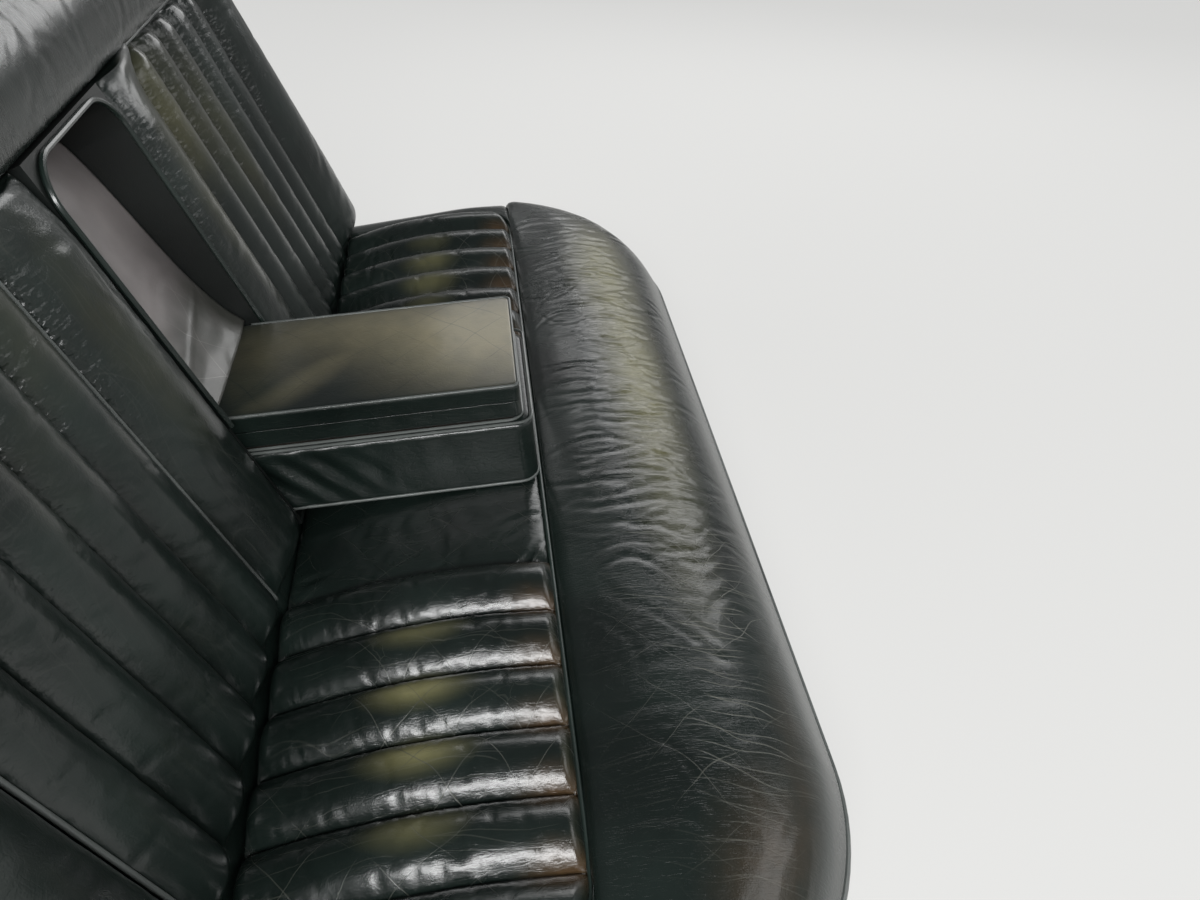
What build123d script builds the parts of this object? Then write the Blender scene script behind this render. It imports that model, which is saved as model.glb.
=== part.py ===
from build123d import *
from math import cos, radians, sin, sqrt, tan
import os

# Rear bench seat of a luxury sedan: fluted leather cushion and squab, with a folding centre armrest.
# Millimetres. +X runs across the car, -Y is the side that people sit on, +Z is up.
# The origin is under the middle of the seat, on the surface that it stands on.
# Side views are drawn as (y, z) from the bite line, where the cushion meets the squab.
# The squab is drawn as (x, s) on its face, s along it from the bite line, n in front of it.

# Overall sizes
seat_half_width = 690.0
cushion_depth = 505.0          # bite line to the front of the roll
squab_height = 590.0           # along the squab from the bite line
squab_tilt = 20.0              # degrees back from upright
squab_taper = 50.0             # the squab's top is that much narrower on each side
cushion_tilt = 7.5             # degrees up towards the front
bite_height = 165.0            # bite line above the floor

# Flutes, alike on cushion and squab
panel_inner = 220.0            # inner seam from the middle of the seat
cushion_flutes = 6
squab_flutes = 5
cushion_border = 74.0          # plain leather outside a cushion panel
squab_wing = 140.0             # plain leather outside a squab panel
flute_rise = 13.0
panel_depth = 272.0            # cushion panel along its slope, bite line to front seam
panel_crown = 7.0              # how far a cushion panel bows up along its length
cushion_corner = 60.0          # outer front corner of a cushion panel
squab_panel_corner = 45.0
seam_gap = 0.2                 # between stuffed pieces that are sewn together
row_turn = 22.0                # degrees that a bowed row is turned through, more than the panel needs
row_base = 30.0                # depth of a bowed row under its seams

# Cushion
roll_crest = 12.0              # front roll above the line of the panel
roll_shoulder_y = 420.0
roll_shoulder_z = 39.0
nose_z = -40.0                 # piping under the front roll
plan_corner = 250.0            # front corners seen from above
edge_round = 48.0              # top edge of the plain border
border_rise = 8.0
skirt_wall = 4.0
skirt_bottom = 12.0
rail = 25.0                    # square tube of the cushion frame
frame_inset = 24.0
rear_rail_back = 62.0          # rear face of the rear rail in front of the bite line
spring_wire = 4.0
spring_count = 9
spring_turns = 8
spring_half_width = 30.0
underlay = 14.0
cross_rail_x = 230.0
bite_lap = 15.0                # the squab is pressed flat that far above the bite line

# Squab
squab_thickness = 125.0
squab_drop = 60.0              # how far it reaches below the bite line
squab_bend = 140.0             # where its sides start to taper
bolster_lip = 15.0             # inner bolster beside the armrest well
bolster_rise = 28.0
bolster_peak = 0.38            # share of its width from the well
wing_rise = 34.0
wing_peak = 8.0                # inwards from the middle of its width
valley_rise = 14.0             # where the bolsters meet the top roll
valley_start = 375.0
valley_hollow = (22.0, 9.0)    # below the seam and in front of it, on the way down to it
seam_lip = 6.0                 # plain corners above a fluted panel
top_roll_rise = 27.0
top_roll_peak = 55.0           # above the seam
top_roll_end = 8.0             # behind the face at the very top
trim = 5.0                     # by which a cutting profile is larger than the squab
squab_corner = 90.0
squab_edge_round = 42.0
board = 4.0
board_inset = 10.0
squab_rail = 22.0
squab_rail_low = -45.0         # middle of the lower rail along the squab
squab_rail_high = 535.0
post_inset = 80.0              # outer posts in from the squab's narrow top

# Armrest and its well
armrest_half_width = 95.0
lower_pad_flare = 2.0          # how much wider the lower pad is on each side
armrest_tilt = 3.0
upper_pad = 43.0
split = 7.0                    # board between the pads
lower_pad = 81.0
armrest_reach = 301.0          # pivot to the front of the upper pad
lower_pad_nose = 10.0          # the lower pad reaches that much further
armrest_corner = 16.0
split_inset = 6.0
rest_gap = 0.4                 # under the armrest, where it rests on the cushion
joint_piping_radius = 1.7      # the two thin cords between the pads
joint_piping_proud = 1.2
joint_piping_gap = 0.05
joint_piping_back = 45.0       # their ends behind the pivot
pivot_back = 45.0              # behind the bite line
pivot_radius = 6.0
sleeve_radius = 10.0
running_gap = 0.08
saddle_width = 16.0
saddle_length = 60.0
well_clearance = 7.0           # on each side of the armrest
well_wall = 4.0
well_back_gap = 13.5           # behind the folded armrest
well_floor_gap = 16.0          # under its round end
well_headroom = 31.0           # above its tip
well_cap = 7.0                 # from the well's roof to the top roll
well_mouth = 3.0               # the wall stops that much behind the bolster's lip
well_corner = 42.0

# Piping, feet and tabs
piping_radius = 3.0
cord_sides = 8
piping_proud = 2.0             # how far the cushion's cord stands out
well_cord_start = 150.0        # up the squab
foot_inset = 240.0             # middle of a foot in from the side of the seat
foot_width = 60.0
foot_plate = 5.0
foot_bolt_radius = 4.5
foot_heel = 30.0               # the foot's plate reaches that much behind its riser
foot_bolt_back = 14.0          # bolt hole from the rear end of the foot
tab_half_span = 280.0
tab_width = 44.0
tab_reach = 36.0
tab_plate = 4.0
tab_bolt_radius = 4.5

# Worked out from the sizes above
tilt = radians(squab_tilt)
slope = radians(cushion_tilt)
far_back = (squab_rail_high + squab_rail / 2) * sin(tilt) + (squab_thickness + board + squab_rail) * cos(tilt)
bite_y = (cushion_depth + piping_proud - far_back) / 2
bite_z = bite_height
underlay_top = rail + spring_wire + underlay
stuffing_drop = bite_z - underlay_top
seam_y = -panel_depth * cos(slope)
seam_z = panel_depth * sin(slope)
cushion_panel_outer = seat_half_width - cushion_border
squab_panel_outer = seat_half_width - squab_wing
well_half = armrest_half_width + lower_pad_flare + well_clearance
well_outer = well_half + well_wall
armrest_depth = upper_pad + split + lower_pad
pivot_to_top = armrest_depth / 2
crown_radius = (panel_depth * panel_depth / 4 + panel_crown * panel_crown) / (2 * panel_crown)

# The armrest lies on the crown of the cushion, where both have the same slope
lean = radians(armrest_tilt)
rest_turn = slope - lean
rest_along = panel_depth / 2 + crown_radius * sin(rest_turn)
rest_rise = panel_crown - crown_radius * (1 - cos(rest_turn))
rest_y = -rest_along * cos(slope) + rest_rise * sin(slope)
rest_z = rest_along * sin(slope) + rest_rise * cos(slope)
pivot_up = rest_z + (pivot_to_top + rest_gap - (pivot_back - rest_y) * sin(lean)) / cos(lean)
pivot_y = bite_y + pivot_back
pivot_z = bite_z + pivot_up
pivot_along = pivot_back * sin(tilt) + pivot_up * cos(tilt)
pivot_depth = pivot_back * cos(tilt) - pivot_up * sin(tilt)

# Folded, the armrest stands along the squab inside the well
well_depth = pivot_depth + pivot_to_top + well_back_gap
well_bottom = pivot_along - pivot_to_top - well_floor_gap
well_top = pivot_along + armrest_reach + lower_pad_nose + well_headroom
panel_top = well_top + well_cap
well_front = bolster_lip - well_mouth
post_out = seat_half_width - squab_taper - post_inset
foot_half_span = seat_half_width - foot_inset
far = 2000.0                   # larger than the seat, for cutting

side_view = Plane(origin=(0, bite_y, bite_z), x_dir=(0, 1, 0), z_dir=(1, 0, 0))
squab_face = Plane(origin=(0, bite_y, bite_z), x_dir=(1, 0, 0), z_dir=(0, -cos(tilt), sin(tilt)))
squab_side = Plane(origin=squab_face.origin, x_dir=squab_face.y_dir, z_dir=(1, 0, 0))
squab_across = Plane(origin=squab_face.origin, x_dir=(-1, 0, 0), z_dir=squab_face.y_dir)
armrest_side = Plane(
    origin=(0, pivot_y, pivot_z),
    x_dir=(0, -cos(lean), sin(lean)),
    z_dir=(-1, 0, 0),
)
armrest_plan = Plane(
    origin=armrest_side.origin,
    x_dir=armrest_side.x_dir,
    z_dir=armrest_side.y_dir,
)


def side_block(face, x0, x1):
    """A side-view face carried across the seat from x0 to x1."""
    return Pos(x0, 0, 0) * extrude(face, x1 - x0, dir=(1, 0, 0))


def region(points):
    """A closed face with straight sides."""
    return make_face(Polyline(*points, close=True))


def box(x0, x1, y0, y1, z0, z1):
    return Pos((x0 + x1) / 2, (y0 + y1) / 2, (z0 + z1) / 2) * Box(x1 - x0, y1 - y0, z1 - z0)


def pair(shape):
    return {"right": shape, "left": mirror(shape, Plane.YZ)}


def cord(points, radius, corner):
    """A cord along straight runs joined by arcs, eight-sided so that its bends stay light."""
    path = FilletPolyline(*points, radius=corner)
    start = Plane(origin=path @ 0, z_dir=path % 0)
    return sweep(start * RegularPolygon(radius, cord_sides), path=path)


def squab_point(x, s, n):
    return squab_face.from_local_coords(Vector(x, s, n))


def arch(half, low, top, corner):
    """An opening in the squab with round top corners."""
    sketch = region([(-half, low), (half, low), (half, top), (-half, top)])
    return fillet(sketch.vertices().sort_by(Axis.Y)[-2:], corner)


def on_squab(sketch, n0, n1):
    """A sketch on the squab's face, thickened from n0 to n1 in front of it."""
    return extrude(squab_face.offset(n0) * sketch, n1 - n0)


def flutes(outer, count, base):
    """Rows of stuffed flutes in section between the panel's seams, one arc each, on a flat base."""
    edges = [Line((outer, 0), (outer, base)), Line((outer, base), (panel_inner, base))]
    edges.append(Line((panel_inner, base), (panel_inner, 0)))
    pitch = (outer - panel_inner) / count
    for row in range(count):
        left = panel_inner + row * pitch
        edges.append(ThreePointArc((left, 0), (left + pitch / 2, flute_rise), (left + pitch, 0)))
    return make_face(Curve() + edges)


def cushion_plan(inset):
    """The cushion from above with its round front corners."""
    half = seat_half_width - inset
    front = bite_y - cushion_depth + inset
    plan = region([(-half, bite_y + 60), (-half, front), (half, front), (half, bite_y + 60)])
    return fillet(plan.vertices().sort_by(Axis.Y)[:2], plan_corner - inset)


def behind_squab_face(gap):
    """Everything in front of the squab's face, so that the cushion ends against it."""
    low = -bite_z
    high = 200
    return side_view * region(
        [(low * tan(tilt) - gap, low), (high * tan(tilt) - gap, high), (-far, high), (-far, low)]
    )


def cushion_envelope():
    """The outer form of the stuffed cushion: sloping top with a round edge, set in for the skirt below."""
    split_z = bite_z + nose_z
    tall = extrude(cushion_plan(0), 400)
    lift = border_rise / cos(slope)
    front_z = lift + far * tan(slope)
    back_z = lift - 100 * tan(slope)
    under_top = side_view * region([(-far, front_z), (100, back_z), (100, -bite_z - 5), (-far, -bite_z - 5)])
    whole = tall & side_block(under_top, -far, far)
    top = whole.faces().sort_by(Axis.Z)[-1]
    rim = [e for e in top.edges() if e.center().Y < bite_y + 59]
    rounded = fillet(rim, edge_round)
    upper = rounded & box(-far, far, -far, far, split_z, far)
    lower = extrude(Plane.XY.offset(underlay_top) * cushion_plan(skirt_wall + seam_gap), split_z - underlay_top)
    return upper + lower


def stuffing_side():
    """Side view of the cushion behind its front seam, crowned along its length."""
    middle = (seam_y / 2 + panel_crown * sin(slope), seam_z / 2 + panel_crown * cos(slope))
    return side_view * make_face(
        Curve()
        + [
            ThreePointArc((0, 0), middle, (seam_y, seam_z)),
            Line((seam_y, seam_z), (seam_y, -stuffing_drop)),
            Line((seam_y, -stuffing_drop), (0, -stuffing_drop)),
            Line((0, -stuffing_drop), (0, 0)),
        ]
    )


def roll_side():
    """Side view of the front roll: over its crest and round to the piping."""
    front_seam = seam_y - seam_gap
    crest = ((seam_y - roll_shoulder_y) / 2, (seam_z + roll_shoulder_z) / 2 + roll_crest)
    over = ThreePointArc((front_seam, seam_z), crest, (-roll_shoulder_y, roll_shoulder_z))
    nose = (-cushion_depth, nose_z)
    down = TangentArc((-roll_shoulder_y, roll_shoulder_z), nose, tangent=over % 1)
    return side_view * make_face(
        Curve()
        + [
            over,
            down,
            Line(nose, (-cushion_depth, -stuffing_drop)),
            Line((-cushion_depth, -stuffing_drop), (front_seam, -stuffing_drop)),
            Line((front_seam, -stuffing_drop), (front_seam, seam_z)),
        ]
    )


def cushion_panel_plan(inset):
    """One fluted cushion panel from above, with its outer front corner round."""
    x0, x1 = panel_inner + inset, cushion_panel_outer - inset
    y0, y1 = bite_y + seam_y + inset, bite_y + 60
    plan = region([(x0, y0), (x1, y0), (x1, y1), (x0, y1)])
    corner = plan.vertices().sort_by(Axis.Y)[:2].sort_by(Axis.X)[-1:]
    return fillet(corner, cushion_corner - inset)


def fluted_cushion():
    """One fluted cushion panel: the flutes turned about a far axis, so that the rows bow up."""
    up = Vector(0, sin(slope), cos(slope))
    hub = Vector(0, bite_y + seam_y / 2, bite_z + seam_z / 2) + up * (panel_crown - crown_radius)
    axis = Axis(hub, (1, 0, 0))
    section = Plane(origin=hub, x_dir=(1, 0, 0), z_dir=(0, -cos(slope), sin(slope)))
    profile = flutes(cushion_panel_outer, cushion_flutes, -row_base)
    rows = revolve(section * Pos(0, crown_radius) * profile, axis, row_turn)
    rows = rows.rotate(axis, -row_turn / 2)
    stuffing = Pos(0, 0, -row_base / 2) * side_block(stuffing_side(), panel_inner, cushion_panel_outer)
    room = extrude(Plane.XY.offset(underlay_top) * cushion_panel_plan(seam_gap), 300)
    front_of_squab = side_block(behind_squab_face(seam_gap), -far, far)
    return (rows + stuffing) & room & front_of_squab


def cushion_stuffing():
    """The cushion's stuffed pieces."""
    envelope = cushion_envelope() & side_block(behind_squab_face(seam_gap), -far, far)
    centre = side_block(stuffing_side(), -panel_inner + seam_gap, panel_inner - seam_gap) & envelope
    plain = extrude(Plane.XY.offset(underlay_top) * cushion_plan(0), 300) & envelope
    behind_seam = box(panel_inner + 60, far, bite_y + seam_y, bite_y + far, 0, far)
    border = plain & behind_seam
    border -= extrude(Plane.XY.offset(0) * cushion_panel_plan(0), 400)
    roll = side_block(roll_side(), -seat_half_width, seat_half_width) & envelope
    pieces = {"cushion_centre_panel": centre, "cushion_front_roll": roll}
    for side, piece in pair(fluted_cushion()).items():
        pieces["cushion_fluted_panel_" + side] = piece
    for side, piece in pair(border).items():
        pieces["cushion_side_border_" + side] = piece
    return pieces


def cushion_cord_z():
    return bite_z + nose_z - piping_radius - 0.1


def cushion_piping():
    """The cord under the front roll, round both front corners and back along the sides."""
    inset = piping_radius - piping_proud
    half = seat_half_width - inset
    front = bite_y - cushion_depth + inset
    z = cushion_cord_z()
    back = bite_y + (z - bite_z) * tan(tilt) - 4
    points = [(-half, back, z), (-half, front, z), (half, front, z), (half, back, z)]
    return cord(points, piping_radius, plan_corner - inset)


def cushion_skirt():
    """The leather valance below the piping."""
    top = cushion_cord_z() - piping_radius - 0.1
    ring = cushion_plan(0) - cushion_plan(skirt_wall)
    wall = extrude(Plane.XY.offset(skirt_bottom) * ring, top - skirt_bottom)
    return wall & side_block(behind_squab_face(2), -far, far)


def rail_bounds():
    """Outer bounds of the cushion frame: half width, front and back."""
    return seat_half_width - frame_inset, bite_y - cushion_depth + frame_inset, bite_y - rear_rail_back


def cushion_frame():
    """Square tubes: a front rail carried round the corners, a rear rail and two cross rails."""
    half, front, back = rail_bounds()
    plan = cushion_plan(frame_inset)
    front_rail = extrude(plan - offset(plan, -rail), rail) & box(-far, far, -far, back - rail, 0, far)
    rails = {"cushion_front_rail": front_rail, "cushion_rear_rail": box(-half, half, back - rail, back, 0, rail)}
    cross = box(cross_rail_x - rail / 2, cross_rail_x + rail / 2, front + rail, back - rail, 0, rail)
    for side, piece in pair(cross).items():
        rails["cushion_cross_rail_" + side] = piece
    return rails


def cushion_tabs():
    """The bolted tabs on the front rail."""
    front = rail_bounds()[1] + rail
    x0, x1 = tab_half_span - tab_width / 2, tab_half_span + tab_width / 2
    hole = Pos(tab_half_span, front + tab_reach / 2, 0) * Cylinder(tab_bolt_radius, 4 * tab_plate)
    tab = box(x0, x1, front, front + tab_reach, 0, tab_plate) - hole
    return {"cushion_tab_" + side: piece for side, piece in pair(tab).items()}


def front_rail_y(x):
    """The middle of the front rail at a place across the seat."""
    turn = seat_half_width - plan_corner
    radius = plan_corner - frame_inset - rail / 2
    over = max(abs(x) - turn, 0)
    return bite_y - cushion_depth + plan_corner - sqrt(radius * radius - over * over)


def cushion_springs():
    """Zigzag springs on the rails, each a flat wire with a three-sided bend at every turn."""
    half, front, back = rail_bounds()
    last = back - rail / 2
    span = 2 * (half - rail - spring_half_width - spring_wire)
    springs = []
    for n in range(spring_count):
        x = -span / 2 + span * n / (spring_count - 1)
        first = front_rail_y(abs(x) + spring_half_width)
        step = (last - first) / spring_turns
        bend = step * 0.3
        points = [(x, first)]
        for turn in range(spring_turns):
            y = first + turn * step
            tip = x + spring_half_width * (1 if turn % 2 == 0 else -1)
            knee = x + (spring_half_width - bend) * (1 if turn % 2 == 0 else -1)
            points += [(knee, y), (tip, y + bend), (tip, y + step - bend), (knee, y + step)]
        points.append((x, last))
        springs.append(extrude(Plane.XY.offset(rail) * trace(Polyline(*points), spring_wire), spring_wire))
    return Compound(springs)


def cushion_underlay():
    """Hessian and felt between the springs and the stuffing."""
    slab = extrude(Plane.XY.offset(rail + spring_wire) * cushion_plan(skirt_wall + 1), underlay)
    return slab & side_block(behind_squab_face(1), -far, far)


def squab_outline(inset):
    """The squab square on: straight below, then tapering to round top corners."""
    low = seat_half_width - inset
    high = low - squab_taper
    top = squab_height - inset
    bottom = -squab_drop + inset
    right = [(low, bottom), (low, squab_bend), (high, top)]
    left = [(-x, s) for x, s in reversed(right)]
    shape = region(right + left)
    return fillet(shape.vertices().sort_by(Axis.Y)[-2:], squab_corner - inset)


def above_cushion():
    """The squab's side view without what lies in front of its face below the cushion's top."""
    region_points = [(-far, -far), (-far, 0), (bite_lap, 0), (bite_lap, far), (far, far), (far, -far)]
    return side_block(squab_side * region(region_points), -far, far)


def squab_envelope():
    """The squab's outer form with its front and back edges rounded, and a dip under the top roll."""
    front = wing_rise + trim + 1
    block = on_squab(squab_outline(0), -squab_thickness, front)
    rim = [e for e in block.edges() if squab_face.to_local_coords(e.center()).Y > -squab_drop + 1]
    front_rim = [e for e in rim if abs(squab_face.to_local_coords(e.center()).Z - front) < 0.1]
    block = fillet(front_rim, squab_edge_round)
    seam = (panel_top, valley_rise)
    hollow = (panel_top - valley_hollow[0], valley_rise + valley_hollow[1])
    peak = (panel_top + top_roll_peak, top_roll_rise)
    low = -squab_drop - trim
    high = squab_height + trim
    back = -squab_thickness - trim
    ahead = front + trim
    profile = make_face(
        Curve()
        + [
            Line((low, back), (low, ahead)),
            Line((low, ahead), (valley_start, ahead)),
            ThreePointArc((valley_start, ahead), hollow, seam),
            ThreePointArc(seam, peak, (high, -top_roll_end)),
            Line((high, -top_roll_end), (high, back)),
            Line((high, back), (low, back)),
        ]
    )
    return block & side_block(squab_side * profile, -far, far) & above_cushion()


def swell(x0, n0, peak, x1, n1):
    """A long bulge up the squab, in section an arc from (x0, n0) over its peak to (x1, n1)."""
    base = -squab_thickness
    face = make_face(
        Curve()
        + [
            ThreePointArc((-x0, n0), (-peak[0], peak[1]), (-x1, n1)),
            Line((-x1, n1), (-x1, base)),
            Line((-x1, base), (-x0, base)),
            Line((-x0, base), (-x0, n0)),
        ]
    )
    return extrude(squab_across.offset(-squab_drop) * face, squab_drop + panel_top - seam_gap)


def panel_arch(inset):
    """The outline of the right squab panel."""
    half = (squab_panel_outer - panel_inner) / 2 - inset
    centre = (panel_inner + squab_panel_outer) / 2
    return Pos(centre, 0) * arch(half, -squab_drop, panel_top - inset, squab_panel_corner - inset)


def squab_band(x0, x1, s0, s1, n):
    """A plain block of stuffing from the back of the squab to n in front of its face."""
    return on_squab(region([(x0, s0), (x1, s0), (x1, s1), (x0, s1)]), -squab_thickness, n)


def squab_stuffing():
    """The squab's plain stuffed pieces round its fluted panels and the armrest well."""
    envelope = squab_envelope()
    panel = on_squab(panel_arch(0), -squab_thickness, far)
    corner = (panel_top - squab_panel_corner, panel_top - seam_gap)
    peak = (well_outer + (panel_inner - well_outer) * bolster_peak, bolster_rise)
    bolster = swell(well_outer + seam_gap, bolster_lip, peak, panel_inner, 0)
    bolster += squab_band(panel_inner, panel_inner + squab_panel_corner, *corner, seam_lip)
    peak = ((squab_panel_outer + seat_half_width) / 2 - wing_peak, wing_rise)
    wing = swell(squab_panel_outer, 0, peak, seat_half_width, 0)
    wing += squab_band(squab_panel_outer - squab_panel_corner, squab_panel_outer, *corner, seam_lip)
    pieces = {
        "squab_top_roll": envelope & squab_band(-far, far, panel_top, far, far),
        "squab_lower_band": squab_band(
            -well_outer, well_outer, -squab_drop, well_bottom - well_wall - seam_gap, 0
        ),
    }
    for name, piece in (("bolster", bolster), ("wing", wing)):
        trimmed = (envelope & piece) - panel
        for side, half in pair(trimmed).items():
            pieces["squab_%s_%s" % (name, side)] = half
    return pieces


def squab_panel():
    """One fluted squab panel."""
    section = mirror(flutes(squab_panel_outer, squab_flutes, -squab_thickness), Plane.YZ)
    rows = extrude(squab_across.offset(-squab_drop) * section, squab_drop + panel_top)
    return rows & on_squab(panel_arch(seam_gap), -squab_thickness, far) & above_cushion()


def armrest_well():
    """The lined box behind the armrest: a wall with a round-cornered mouth, a back panel and its padding."""
    low, high = well_bottom - well_wall, panel_top - seam_gap
    block = region([(-well_outer, low), (well_outer, low), (well_outer, high), (-well_outer, high)])
    mouth = arch(well_half, well_bottom, well_top, well_corner)
    bore = Pos(0, pivot_y, pivot_z) * Rot(0, 90, 0) * Cylinder(pivot_radius, 4 * well_outer)
    wall = on_squab(block - mouth, -well_depth, well_front) - bore
    back = on_squab(block, -well_depth - well_wall, -well_depth)
    padding = on_squab(block, -squab_thickness, -well_depth - well_wall)
    return {"armrest_well_wall": wall, "armrest_well_back": back, "squab_centre_pad": padding}


def well_piping():
    """The cord round the mouth of the well."""
    out = well_wall - piping_radius
    x, top = well_half + out, well_top + out
    n = well_front + piping_radius + 0.1
    places = ((-x, well_cord_start), (-x, top), (x, top), (x, well_cord_start))
    points = [squab_point(px, s, n) for px, s in places]
    return cord(points, piping_radius, well_corner + out)


def squab_structure():
    """The hardboard back, with square rails and posts behind it."""
    behind = -squab_thickness - board
    half = squab_rail / 2

    def bar(x0, x1, s0, s1):
        return on_squab(region([(x0, s0), (x1, s0), (x1, s1), (x0, s1)]), behind - squab_rail, behind)

    pieces = {
        "squab_board": on_squab(squab_outline(board_inset), behind, -squab_thickness),
        "squab_rail_lower": bar(-post_out, post_out, squab_rail_low - half, squab_rail_low + half),
        "squab_rail_upper": bar(-post_out, post_out, squab_rail_high - half, squab_rail_high + half),
    }
    for name, x in (("outer", post_out - half), ("inner", well_outer + half)):
        post = bar(x - half, x + half, squab_rail_low + half, squab_rail_high - half)
        for side, piece in pair(post).items():
            pieces["squab_post_%s_%s" % (name, side)] = piece
    return pieces


def foot_back():
    """The rear end of a foot's plate."""
    under_rail = squab_point(0, squab_rail_low - squab_rail / 2, -squab_thickness - board - squab_rail)
    return under_rail.Y + foot_heel


def squab_feet():
    """A bent steel foot each side: a plate from the cushion's rear rail, and a riser under the squab's rail."""
    low = squab_rail_low - squab_rail / 2
    front = squab_point(0, low, -squab_thickness - board)
    back = squab_point(0, low, -squab_thickness - board - squab_rail)
    x0, x1 = foot_half_span - foot_width / 2, foot_half_span + foot_width / 2
    plate = box(x0, x1, rail_bounds()[2], foot_back(), 0, foot_plate)
    corners = [(front.Y, front.Z), (back.Y, back.Z), (back.Y, foot_plate), (front.Y, foot_plate)]
    riser = side_block(side_view * region([(y - bite_y, z - bite_z) for y, z in corners]), x0, x1)
    hole = Pos(foot_half_span, foot_back() - foot_bolt_back, 0) * Cylinder(foot_bolt_radius, 4 * foot_plate)
    return {"squab_foot_" + side: piece for side, piece in pair(plate + riser - hole).items()}


def armrest_outline(top, bottom, reach):
    """Side view of a slice of the armrest between two heights from the pivot, round behind it."""
    whole = Circle(pivot_to_top) + Pos(reach / 2, 0) * Rectangle(reach, armrest_depth)
    return whole & Pos(0, (top + bottom) / 2) * Rectangle(4 * armrest_reach, top - bottom)


def armrest_slice(top, bottom, reach, half):
    """A pad of the armrest with round front corners seen from above."""
    block = extrude(armrest_side * armrest_outline(top, bottom, reach), half, both=True)
    along = Vector(armrest_side.y_dir)
    corners = [
        e for e in block.edges()
        if abs(abs((e % 0.5).dot(along)) - 1) < 1e-3 and armrest_side.to_local_coords(e.center()).X > reach - 1
    ]
    return fillet(corners, armrest_corner)


def armrest_pieces():
    """Upper pad, board, lower pad, and the sleeve that turns on the pivot."""
    top = pivot_to_top
    under_upper = top - upper_pad
    over_lower = under_upper - split
    saddle = armrest_side * Pos(0, over_lower / 2) * Rectangle(saddle_width, over_lower)
    slot = armrest_side * Pos(0, over_lower / 2) * Rectangle(saddle_width + 2 * seam_gap, over_lower)
    hub = extrude(armrest_side * Circle(pivot_radius + running_gap), far, both=True)
    sleeve = extrude(armrest_side * Circle(sleeve_radius), armrest_half_width, both=True)
    sleeve = sleeve + extrude(saddle, saddle_length / 2, both=True) - hub
    lower = armrest_slice(
        over_lower, -top, armrest_reach + lower_pad_nose, armrest_half_width + lower_pad_flare
    )
    lower -= extrude(armrest_side * Circle(sleeve_radius + seam_gap), far, both=True)
    lower -= extrude(slot, saddle_length / 2 + seam_gap, both=True)
    return {
        "armrest_upper_pad": armrest_slice(top, under_upper, armrest_reach, armrest_half_width),
        "armrest_board": armrest_slice(
            under_upper, over_lower, armrest_reach - split_inset, armrest_half_width - split_inset
        ),
        "armrest_lower_pad": lower,
        "armrest_sleeve": sleeve,
    }


def armrest_piping():
    """Two thin cords in the joint between the pads, round the front and back along both sides."""
    out = joint_piping_proud - joint_piping_radius
    over = joint_piping_radius + joint_piping_gap
    under_upper = pivot_to_top - upper_pad
    pads = (
        (under_upper - over, armrest_half_width, armrest_reach),
        (under_upper - split + over, armrest_half_width + lower_pad_flare, armrest_reach + lower_pad_nose),
    )
    cords = []
    for height, pad_half, pad_reach in pads:
        half = pad_half + out
        reach = pad_reach + out
        places = ((-joint_piping_back, -half), (reach, -half), (reach, half), (-joint_piping_back, half))
        points = [armrest_plan.from_local_coords(Vector(*place, height)) for place in places]
        cords.append(cord(points, joint_piping_radius, armrest_corner + out))
    return Compound(cords)


def armrest_pivot():
    return Pos(0, pivot_y, pivot_z) * Rot(0, 90, 0) * Cylinder(pivot_radius, 2 * well_outer)


def main():
    pieces = cushion_stuffing()
    pieces["cushion_piping"] = cushion_piping()
    pieces["cushion_skirt"] = cushion_skirt()
    pieces.update(cushion_frame())
    pieces.update(cushion_tabs())
    pieces["cushion_springs"] = cushion_springs()
    pieces["cushion_underlay"] = cushion_underlay()
    pieces.update(squab_stuffing())
    for side, piece in pair(squab_panel()).items():
        pieces["squab_fluted_panel_" + side] = piece
    pieces.update(armrest_well())
    pieces["well_piping"] = well_piping()
    pieces.update(squab_structure())
    pieces.update(squab_feet())
    pieces["armrest_pivot"] = armrest_pivot()
    pieces.update(armrest_pieces())
    pieces["armrest_piping"] = armrest_piping()
    os.makedirs("parts", exist_ok=True)
    for name, shape in pieces.items():
        export_step(shape, "parts/%s.step" % name)


if __name__ == "__main__":
    main()
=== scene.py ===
"""Rear bench seat in worn leather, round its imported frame: fluted cushion and squab, folding armrest."""
from math import cos, pi, radians, sin, tan

import bmesh
import bpy
import numpy as np
from bpy.props import FloatProperty, FloatVectorProperty, IntProperty, PointerProperty
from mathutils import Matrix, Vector


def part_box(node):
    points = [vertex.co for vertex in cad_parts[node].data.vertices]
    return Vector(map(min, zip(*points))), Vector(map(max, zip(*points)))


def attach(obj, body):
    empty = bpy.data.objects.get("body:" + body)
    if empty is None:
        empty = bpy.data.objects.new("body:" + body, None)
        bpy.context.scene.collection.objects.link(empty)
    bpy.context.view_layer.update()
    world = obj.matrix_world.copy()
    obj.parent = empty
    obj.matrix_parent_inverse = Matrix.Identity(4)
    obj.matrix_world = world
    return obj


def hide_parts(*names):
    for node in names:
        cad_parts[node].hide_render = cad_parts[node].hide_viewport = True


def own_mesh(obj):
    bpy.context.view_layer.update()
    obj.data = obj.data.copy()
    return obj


bl_info = {
    "name": "Fluted rear bench seat",
    "version": (1, 0, 0),
    "blender": (4, 5, 0),
    "location": "3D View > Sidebar > Seat",
    "description": "Upholsters a rear bench seat with a folding centre armrest",
    "category": "Add Mesh",
}

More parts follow.
